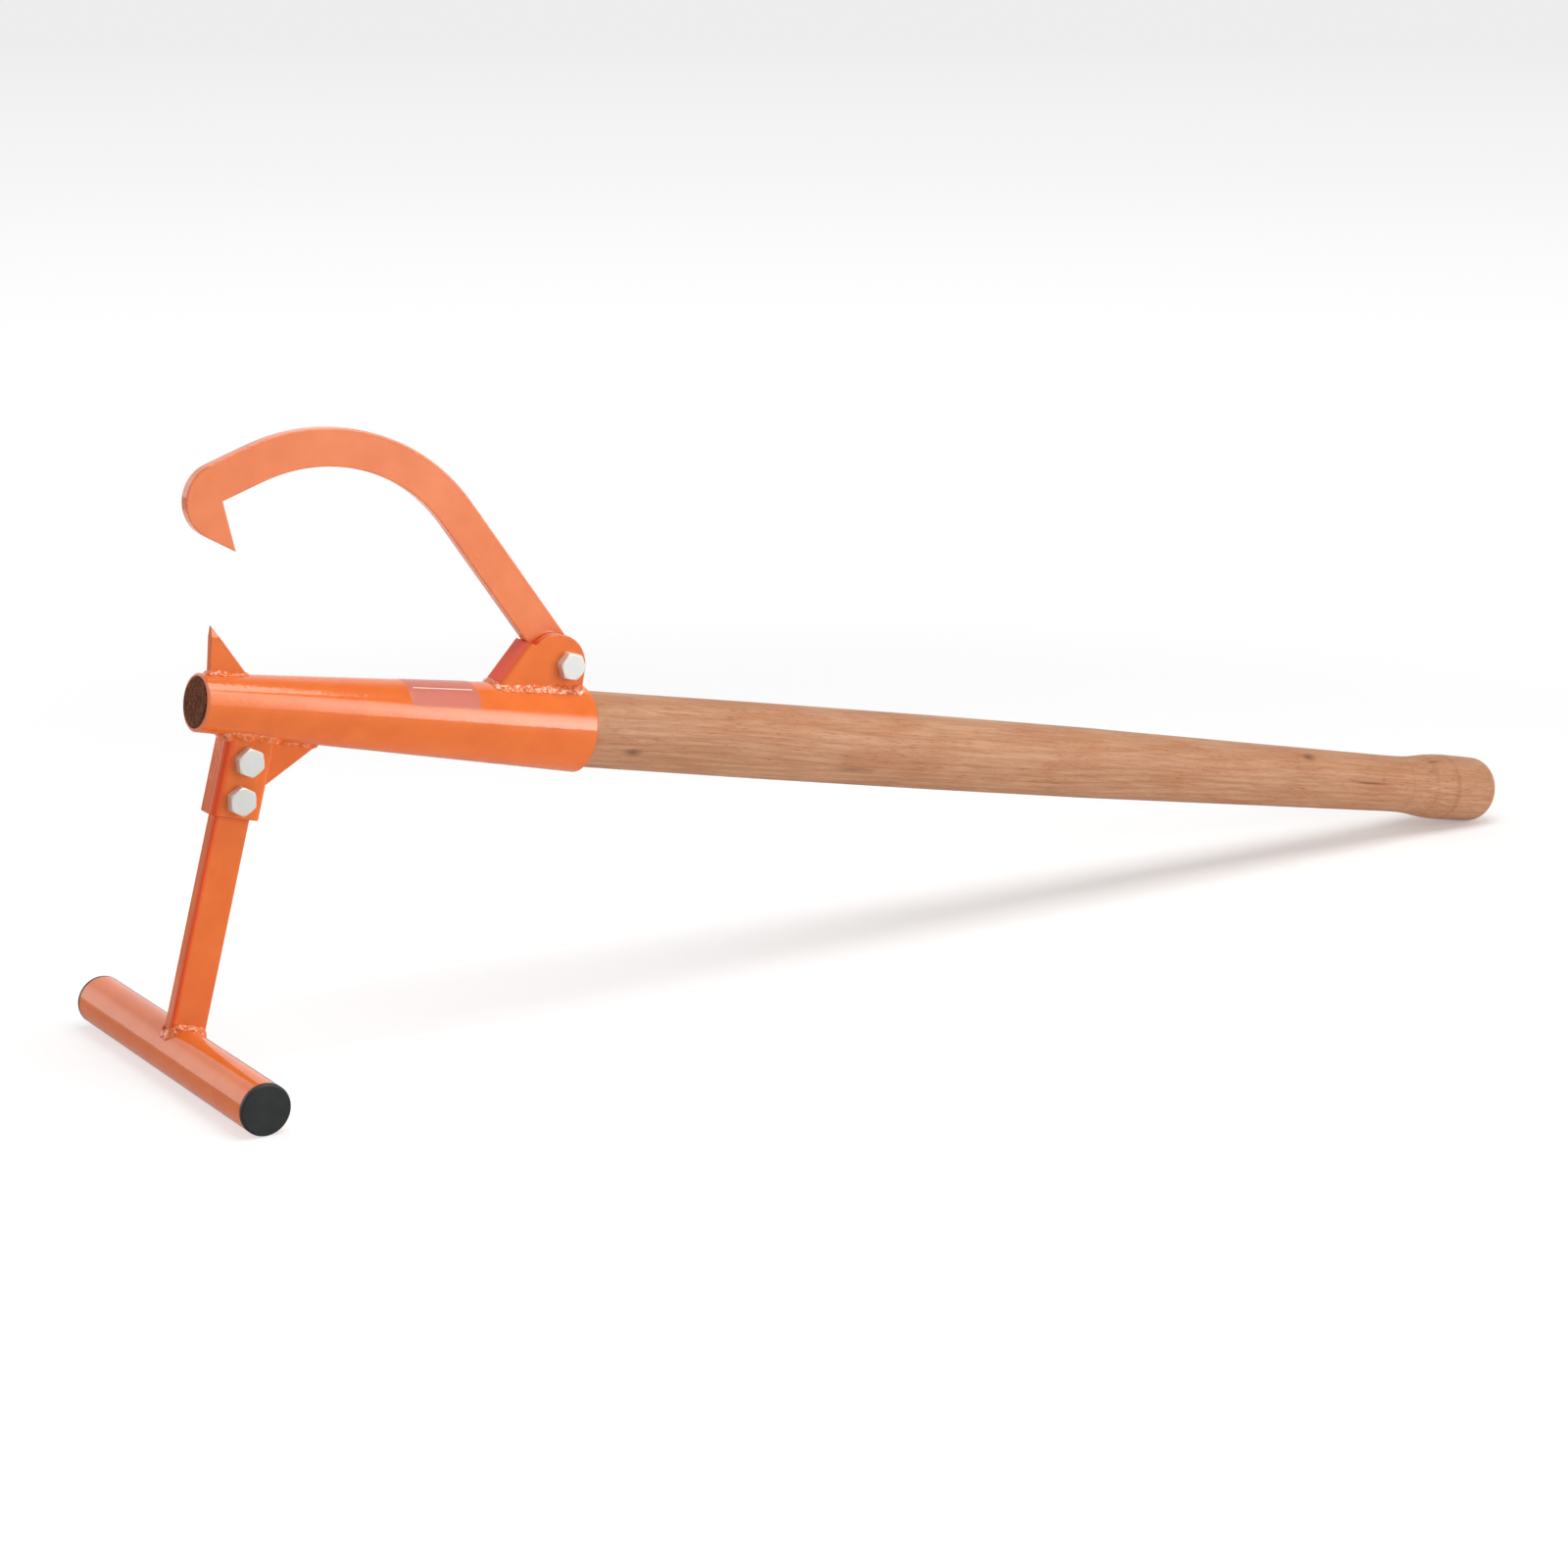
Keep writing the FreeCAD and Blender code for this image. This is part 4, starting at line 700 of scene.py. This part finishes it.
def natural_nylon(name):
    """Nylon ring moulded undyed: milky, a little translucent, with a waxy sheen and cloudy flow marks 3 mm wide."""
    material, add, grid = new_material(name)
    flow = add("TexNoise", {"Vector": grid, "Scale": 330.0, "Detail": 2.0})
    colour = add("ValToRGB", [flow], stops=[(0.3, linear("#C9D2D8")), (0.7, linear("#E2E6E8"))])
    rough = add("Math", [flow, 0.12, 0.34], operation="MULTIPLY_ADD")
    normal = add("Bump", {"Height": flow, "Distance": 0.03 * MM, "Strength": 1.0})
    shader = add("BsdfPrincipled", {"Base Color": colour, "Roughness": rough, "IOR": 1.53, "Normal": normal,
                                    "Subsurface Weight": 0.25, "Subsurface Scale": 0.001})
    add("OutputMaterial", {"Surface": shader})
    return material


def vinyl_label(name, tint):
    """Printed vinyl stuck on the paint: flatter and duller than the coat, slightly rippled by the glue below.

    A pale rule 1 mm wide runs two fifths of the way up the label, to 4 mm from both of its ends; the rest is a fine
    even tint with specks under 1 mm wide.
    """
    material, add, grid = new_material(name)
    tint = np.array(tint)
    sheet = add("UVMap")
    print_grain = add("TexNoise", {"Vector": grid, "Scale": 1300.0, "Detail": 2.0})
    ripple = add("TexNoise", {"Vector": grid, "Scale": 130.0, "Detail": 2.0})
    colour = add("ValToRGB", [print_grain], stops=[(0.3, tint * [0.95, 0.88, 0.88]),
                                                   (0.7, np.minimum(tint * [1.03, 1.1, 1.1], 1))])
    rule = 1.0
    for axis, middle, half in (("Y", 0.40, 0.013), ("X", 0.5, 0.42)):
        away = add("Math", [add("SeparateXYZ", [sheet], axis), middle], operation="SUBTRACT")
        within = add("Math", [add("Math", [away], operation="ABSOLUTE"), half], operation="LESS_THAN")
        rule = add("Math", [rule, within], operation="MULTIPLY")
    colour = layered(add, colour, [(rule, linear("#F3D9CD"))])
    normal = add("Bump", {"Height": ripple, "Distance": 0.12 * MM, "Strength": 1.0})
    rough = add("Math", [ripple, 0.14, 0.26], operation="MULTIPLY_ADD")
    shader = add("BsdfPrincipled", {"Base Color": colour, "Roughness": rough, "IOR": 1.5, "Normal": normal})
    add("OutputMaterial", {"Surface": shader})
    return material


# ---------------------------------------------------------------- operators

class LOGLIFTER_OT_paint(Operator):
    """Sprays the steel pieces with orange powder coat."""
    bl_idname = "loglifter.paint"
    bl_label = "Paint the steel"

    def execute(self, context):
        paint = tuple(context.scene.loglifter_finishes.paint)
        # The hook's coat is paled a tenth of the way to pinkish white: a painted reflection.
        paint_with_painted_reflection = tuple(0.90 * np.array(paint) + 0.10 * np.array(linear("#FFDCC8")))
        web = tuple(-math.sin(WEB_SLOPE) * AXIS + math.cos(WEB_SLOPE) * UP)
        for nodes, where, tone, edge, lump_height, extra in (
                (("spike", "gusset"), "plate", paint, 0.6, 0.16, {}),
                (("sleeve", "foot_tube"), "tube", paint, 1.0, 0.20, {}),
                (("hook_bracket",), "bracket", paint, 0.9, 0.16, {"web": web}),
                (("leg",), "leg", paint, 0.9, 0.16, {"bar": (LEG[0], LEG[1], 2.2)}),
                (("hook",), "hook", paint_with_painted_reflection, 1.1, 0.12, {}),
                (("leg_socket",), "leg_socket", paint, 1.0, 0.20, {"bar": COLLAR})):
            coat(nodes, powder_coat("orange_powder_coat_on_" + where, tone, edge * MM, lump_height * MM, **extra))
        return {"FINISHED"}


class LOGLIFTER_OT_handle(Operator):
    """Gives the turned handle its oiled hardwood."""
    bl_idname = "loglifter.handle"
    bl_label = "Oil the handle"

    def execute(self, context):
        coat(("handle",), turned_hardwood("oiled_turned_hardwood", tuple(context.scene.loglifter_finishes.wood)))
        return {"FINISHED"}


class LOGLIFTER_OT_welds(Operator):
    """Lays the five weld beads round the spike, bracket, leg socket, gusset and foot."""
    bl_idname = "loglifter.welds"
    bl_label = "Lay the welds"

    def spike(self, sizes):
        """A closed bead round the spike's foot, heavier towards the mouth."""
        start, end, half = SPIKE
        plan, normals = rounded_outline((end - start) / 2, half, 0.8, (start + end) / 2)
        leg = sizes.spike / MM * np.interp(plan[:, 0], (start, end), (1.1, 0.6))
        return [on_cone(plan, normals, 1, True, leg, 3, sizes)]

    def bracket(self, sizes):
        """A bead round the bracket, open at the back between the ears, and lighter in front."""
        start, end, half = BRACKET
        plan, normals = rounded_outline((end - start) / 2, half, 2.5, (start + end) / 2)
        plan, normals = cut_open(plan, normals, ~((np.abs(plan[:, 1]) < BRACKET_GAP) & (plan[:, 0] > end - 1)))
        leg = sizes.bracket / MM * np.interp(plan[:, 0], (start, start + 22, end), (0.7, 1.0, 1.1))
        return [on_cone(plan, normals, 1, False, leg, 11, sizes)]

    def gusset(self, sizes):
        """A bead along the socket and round the gusset's end, and one up each side of the leg socket."""
        start = LEG_STATION + COLLAR[0] + 1.0
        plan, normals = rounded_outline(GUSSET_END - start, GUSSET_HALF, 0.8, start)
        plan, normals = cut_open(plan, normals, plan[:, 0] > start)
        beads = [on_cone(plan, normals, -1, False, sizes.gusset / MM, 29, sizes)]
        for side in (-1, 1):
            drop = np.arange(*GUSSET_WELD_DROPS, BEAD_STEP)
            path = leg_point(COLLAR[0] + 0 * drop, side * GUSSET_HALF, drop)
            forward = np.tile([math.cos(LEG_RAKE), 0, -math.sin(LEG_RAKE)], (len(drop), 1))
            outward = np.tile([0, float(side), 0], (len(drop), 1))
            beads.append(bead(path, forward, outward, sizes.gusset / MM, False, 37 + side, sizes))
        return beads

    def execute(self, context):
        sizes = context.scene.loglifter_welds
        paint = tuple(context.scene.loglifter_finishes.paint)
        # Weld coats: pale patches for scale and painted highlights, darker patches for painted shade of pits.
        plain = powder_coat("orange_powder_coat_over_weld", paint, 0.1 * MM, 0.4 * MM, scale=0.3)
        weld_scale_and_highlight_coat = powder_coat("orange_powder_coat_over_weld_scale_with_painted_highlights", paint, 0.1 * MM, 0.4 * MM, scale=0.75)
        for node, beads, material in (
                ("spike_weld", self.spike(sizes), plain),
                ("bracket_weld", self.bracket(sizes), weld_scale_and_highlight_coat),
                ("leg_socket_weld", [ring_of_leg(*COLLAR, sizes.collar / MM, False, 19, sizes)], plain),
                ("gusset_weld", self.gusset(sizes), plain),
                ("foot_weld", [ring_of_leg(*LEG, sizes.foot / MM, True, 43, sizes)], plain)):
            dress(join_beads(node + "_bead", beads), material, "orange_paint", "tool", node)
        return {"FINISHED"}


class LOGLIFTER_OT_bolts(Operator):
    """Fits the three bolts, and plates them and the nuts."""
    bl_idname = "loglifter.bolts"
    bl_label = "Fit the bolts"

    def execute(self, context):
        sizes = context.scene.loglifter_fasteners
        zinc = bright_zinc("bright_zinc_plated_steel", tuple(context.scene.loglifter_finishes.zinc))
        upper, lower = (leg_point(0.0, 0.0, drop) for drop in BOLT_DROPS)
        for node, x, z, half_depth, turn in (
                ("pivot_bolt", *PIVOT, BRACKET[2], 3.5), ("upper_leg_bolt", upper[0], upper[2], COLLAR[1], 14.7),
                ("lower_leg_bolt", lower[0], lower[2], COLLAR[1], 19.0)):
            piece = bolt(node + "_threaded", x, z, half_depth, math.radians(turn), sizes)
            dress(piece, zinc, "zinc_plated_steel", "tool", node)
        coat(("pivot_nut", "upper_leg_nut", "lower_leg_nut"), zinc)
        coat(("pivot_nut_ring", "upper_leg_nut_ring", "lower_leg_nut_ring"), natural_nylon("natural_nylon"))
        return {"FINISHED"}


class LOGLIFTER_OT_caps(Operator):
    """Gives the foot tube's end caps their moulded black plastic."""
    bl_idname = "loglifter.caps"
    bl_label = "Finish the end caps"

    def execute(self, context):
        plastic = tuple(context.scene.loglifter_finishes.plastic)
        coat(("foot_cap_near", "foot_cap_far"), moulded_black("moulded_black_polyethylene", plastic))
        return {"FINISHED"}


class LOGLIFTER_OT_label(Operator):
    """Sticks the plain label on the socket."""
    bl_idname = "loglifter.label"
    bl_label = "Stick the label"

    def execute(self, context):
        """The sheet is a grid on the cone: a station and an angle for each point, its corners drawn in.

        They are drawn in by the product of both shares to the fourteenth power. The outer face lies 0.12 mm over the
        steel, and the rim drops to 0.08 mm under it.
        """
        sizes = context.scene.loglifter_label
        rows, columns, over, under = 40, 72, 0.12, -0.08
        u, v = np.meshgrid(np.linspace(-1, 1, rows), np.linspace(-1, 1, columns), indexing="ij")
        pull = (np.abs(u) ** 14 * np.abs(v) ** 14) * 0.045
        across, round_it = u * (1 - pull), v * (1 - pull)
        x = (sizes.start + sizes.length * (across + 1) / 2) / MM
        angle = (sizes.low + sizes.high) / 2 + (sizes.high - sizes.low) / 2 * round_it
        radius = radius_at(x) + np.where((np.abs(u) > 0.999) | (np.abs(v) > 0.999), under, over)
        points = np.stack([x, -radius * np.cos(angle), radius * np.sin(angle)], -1).reshape(-1, 3)
        r, c = np.meshgrid(np.arange(rows - 1), np.arange(columns - 1), indexing="ij")
        corner = (r * columns + c).ravel()
        quads = np.stack([corner, corner + columns, corner + columns + 1, corner + 1], -1)
        label = new_piece("plain_label", place(points), quads)
        layer = label.data.uv_layers.new(name="UVMap")
        index = np.empty(len(label.data.loops), np.int32)
        label.data.loops.foreach_get("vertex_index", index)
        sheet = np.stack([(across + 1) / 2, (round_it + 1) / 2], -1).reshape(-1, 2)
        layer.data.foreach_set("uv", sheet[index].astype(np.float32).ravel())
        material = vinyl_label("printed_vinyl", tuple(context.scene.loglifter_finishes.label))
        dress(label, material, "orange_paint", "tool")
        return {"FINISHED"}


class LOGLIFTER_OT_stage(Operator):
    """Sets up the floor, the world, the lamps and the camera."""
    bl_idname = "loglifter.stage"
    bl_label = "Set the stage"

    def ray_masks(self, add):
        """Masks of the rays that see the stage straight, in a mirror or through glass, and of mirrored ones alone."""
        rays = {kind: add("LightPath", output=f"Is {kind} Ray") for kind in ("Camera", "Glossy", "Transmission")}
        seen = add("Math", [rays["Camera"], rays["Glossy"]], operation="MAXIMUM")
        return add("Math", [seen, rays["Transmission"]], operation="MAXIMUM"), rays["Glossy"]

    def floor(self, scene, half):
        """White paper that the object lights and shades near by; further off it glows white, greying a little with
        distance as a painted falloff of light.

        Rays that light the object see an even white paper. A camera or mirror sees it half lit by its own glow, so
        that shadows stay soft, and mirrors see it darker where the object's polished faces look at it.
        """
        mesh = bpy.data.meshes.new("floor")
        mesh.from_pydata([(-half, -half, 0), (half, -half, 0), (half, half, 0), (-half, half, 0)], [], [(0, 1, 2, 3)])
        floor = bpy.data.objects.new("floor", mesh)
        scene.collection.objects.link(floor)
        paper = bpy.data.materials.new("white_studio_paper")
        add = bare_tree(paper)
        seen, glossy = self.ray_masks(add)
        where = add("TexCoord", output="Object")
        beside, depth = (add("SeparateXYZ", [where], axis) for axis in "XY")
        away = add("VectorMath", [where, (0.5, 0.0, 0.0)], "Value", operation="DISTANCE")

        lit = add("AddShader", [add("BsdfDiffuse", {"Color": 0.9}), add("Emission", {"Color": 1.0, "Strength": 0.14})])
        far = add("ValToRGB", [add("Math", [away, 0.2], operation="MULTIPLY")], stops=[(0.115, 0.0), (0.22, 1.0)])
        deep = add("ValToRGB", [add("Math", [away, 0.05], operation="MULTIPLY")],
                   stops=[(0.17, 1.0), (0.30, 0.92), (0.55, 0.85)])
        own_light = add("ValToRGB", [beside], stops=[(0.10, 0.63), (0.60, 0.17)])
        paper_white = add("ValToRGB", [beside], stops=[(0.10, 0.43), (0.60, 0.85)])
        near = add("AddShader", [add("BsdfDiffuse", {"Color": paper_white}),
                                 add("Emission", {"Color": own_light, "Strength": 1.0})])
        shown = add("MixShader", [far, near, add("Emission", {"Color": deep, "Strength": 1.0})])

        close = add("ValToRGB", [add("Math", [depth, 0.25, 0.55], operation="MULTIPLY_ADD")],
                    stops=[(0.0, 0.0), (0.35, 1.0), (0.62, 1.0), (0.71, 0.0)])
        corner = add("VectorMath", [where, (-1.0, -0.8, 0.0)], "Value", operation="DOT_PRODUCT")
        corner = add("ValToRGB", [corner], stops=[(0.45, 0.0), (0.75, 1.0)])
        aside = add("ValToRGB", [add("Math", [beside, -1.0], operation="MULTIPLY")], stops=[(0.25, 0.0), (0.50, 1.0)])
        bare = add("Math", [add("Math", [close, corner], operation="MAXIMUM"), aside], operation="MAXIMUM")
        bare = add("Math", [bare, glossy], operation="MULTIPLY")
        shown = add("MixShader", [bare, shown, add("Emission", {"Color": 1.0, "Strength": 0.40})])
        add("OutputMaterial", {"Surface": add("MixShader", [seen, lit, shown])})
        floor.data.materials.append(paper)

    def world(self, scene, strength):
        """White surroundings, dimmer at the front left; in mirrors a white back wall and a darker room round it."""
        world = bpy.data.worlds.new("white_studio")
        scene.world = world
        add = bare_tree(world)
        seen, glossy = self.ray_masks(add)
        direction = add("TexCoord", output="Generated")
        front_left, behind, beyond = (
            add("VectorMath", [direction, towards], "Value", operation="DOT_PRODUCT")
            for towards in ((-0.75, -0.66, 0.0), (-0.30, 0.95, 0.1), (-0.47, 0.87, 0.12)))
        open_side = add("ValToRGB", [add("Math", [front_left, 0.5, 0.5], operation="MULTIPLY_ADD")],
                        stops=[(0.52, 1.0), (0.85, 0.25)])
        ambient = add("Background", {"Color": open_side, "Strength": strength})
        paper_back = add("ValToRGB", [add("Math", [behind, 0.5, 0.5], operation="MULTIPLY_ADD")],
                         stops=[(0.38, 0.22), (0.60, 1.0)])
        above = add("ValToRGB", [add("SeparateXYZ", [direction], "Z")], stops=[(0.60, 0.0), (0.80, 1.0)])
        room = layered(add, paper_back, [(above, 0.22)])
        beyond = add("ValToRGB", [beyond], stops=[(0.88, 0.0), (0.97, 1.0)])
        mirrored = add("Background", {"Color": room,
                                      "Strength": add("Math", [beyond, 0.8, 1.0], operation="MULTIPLY_ADD")})
        white = add("Background", {"Color": 1.0, "Strength": 1.0})
        add("OutputWorld", {"Surface": add("MixShader", [
            seen, ambient, add("MixShader", [glossy, white, mirrored])])})

    def lamp(self, name, power, size, position, target, stops=(), top=0.0, low=0.0):
        """A rectangular area lamp that faces a point.

        With stops, a ramp from its left to its right end, it is graded: times its height share to the power low, and
        times one less that share to the power top.
        """
        data = bpy.data.lights.new(name, "AREA")
        data.shape = "RECTANGLE"
        data.size, data.size_y = size
        data.energy = power
        if stops:
            add = bare_tree(data)
            across, height = (add("SeparateXYZ", [add("NewGeometry", output="Parametric")], axis) for axis in "XY")
            from_top = add("Math", [1.0, height], operation="SUBTRACT", use_clamp=True)
            fall = add("Math", [add("Math", [from_top, top], operation="POWER"),
                                add("Math", [height, low], operation="POWER")], operation="MULTIPLY")
            fall = add("Math", [fall, add("ValToRGB", [across], stops=stops)], operation="MULTIPLY")
            add("OutputLight", {"Surface": add("Emission", {"Strength": fall})})
        obj = bpy.data.objects.new(name, data)
        position, target = np.array(position, float), np.array(target, float)
        back = unit(position - target)
        side = unit(np.cross([0, 0, 1], back))
        turn = np.stack([side, np.cross(back, side), back], -1)
        obj.matrix_world = Matrix.Translation(position.tolist()) @ Matrix(turn.tolist()).to_4x4()
        bpy.context.scene.collection.objects.link(obj)
        return obj

    def camera(self, scene, lens):
        """The photograph's camera, as worked out for the frame: its place, and its turns in radians."""
        place_of_eye = (-0.869423, -2.012294, 0.776346)
        yaw, pitch, roll = 0.5851232584, 0.2628692554, 0.0016895917
        right = np.array([math.cos(yaw), -math.sin(yaw), 0.0])
        forward = np.array([math.sin(yaw) * math.cos(pitch), math.cos(yaw) * math.cos(pitch), -math.sin(pitch)])
        up = np.cross(right, forward)
        side = math.cos(roll) * right + math.sin(roll) * up
        top = -math.sin(roll) * right + math.cos(roll) * up
        camera = bpy.data.objects.new("camera", bpy.data.cameras.new("camera"))
        camera.data.lens = lens
        camera.data.sensor_width = 36.0
        camera.data.clip_end = 60.0
        turn = Matrix(np.stack([side, top, -forward], -1).tolist()).to_4x4()
        camera.matrix_world = Matrix.Translation(place_of_eye) @ turn
        scene.collection.objects.link(camera)
        scene.camera = camera

    def execute(self, context):
        scene = context.scene
        stage = scene.loglifter_stage
        self.floor(scene, stage.floor_half)
        self.world(scene, stage.world)
        self.lamp("overhead_softbox", stage.key, (1.5, 1.2), (0.55, -0.4, 2.0), (0.5, 0.0, 0.1))
        self.lamp("low_band", stage.band, (3.0, 2.2), (1.9, -2.8, 1.37), (0.3, 0.0, 1.33),
                  [(0.32, 0.20), (0.50, 1.0)], top=1.0)
        sheen = self.lamp("sheen_box", stage.sheen, (0.5, 1.9), (0.8725, -1.09, 0.95), (0.26, 0.0, 0.75),
                          [(0.0, 0.0), (0.5, 1.0), (0.8, 1.0), (1.0, 0.0)], top=0.5, low=1.6)
        sheen.visible_diffuse = False
        fill = self.lamp("left_fill", stage.fill, (1.8, 1.3), (-1.3, 2.0, 0.85), (0.1, 0.0, 0.15))
        fill.visible_glossy = False
        self.camera(scene, stage.lens)
        scene.view_settings.view_transform = "Standard"
        return {"FINISHED"}


class LOGLIFTER_PT_sidebar(Panel):
    """The sidebar's list of steps, with their sizes and colours."""
    bl_idname = "LOGLIFTER_PT_sidebar"
    bl_label = "Log Lifter"
    bl_space_type = "VIEW_3D"
    bl_region_type = "UI"
    bl_category = "Log Lifter"

    def draw(self, context):
        for step in STEPS:
            self.layout.operator(step.bl_idname)
        for name, group in GROUPS.items():
            box = self.layout.box()
            for field in group.__annotations__:
                box.prop(getattr(context.scene, name), field)


STEPS = (LOGLIFTER_OT_paint, LOGLIFTER_OT_handle, LOGLIFTER_OT_welds, LOGLIFTER_OT_bolts,
         LOGLIFTER_OT_caps, LOGLIFTER_OT_label, LOGLIFTER_OT_stage)
GROUPS = {
    "loglifter_welds": WeldSizes, "loglifter_fasteners": FastenerSizes, "loglifter_label": LabelSizes,
    "loglifter_finishes": Finishes, "loglifter_stage": StageSettings,
}


def register():
    """Registers the classes and hangs the sizes on the scene."""
    for item in (*GROUPS.values(), *STEPS, LOGLIFTER_PT_sidebar):
        bpy.utils.register_class(item)
    for name, group in GROUPS.items():
        setattr(bpy.types.Scene, name, PointerProperty(type=group))


def unregister():
    """Takes the sizes and classes away again."""
    for name in GROUPS:
        delattr(bpy.types.Scene, name)
    for item in reversed((*GROUPS.values(), *STEPS, LOGLIFTER_PT_sidebar)):
        bpy.utils.unregister_class(item)


def main():
    """Runs every step in order."""
    register()
    bpy.ops.loglifter.paint()
    bpy.ops.loglifter.handle()
    bpy.ops.loglifter.welds()
    bpy.ops.loglifter.bolts()
    bpy.ops.loglifter.caps()
    bpy.ops.loglifter.label()
    bpy.ops.loglifter.stage()


if __name__ == "__main__":
    main()
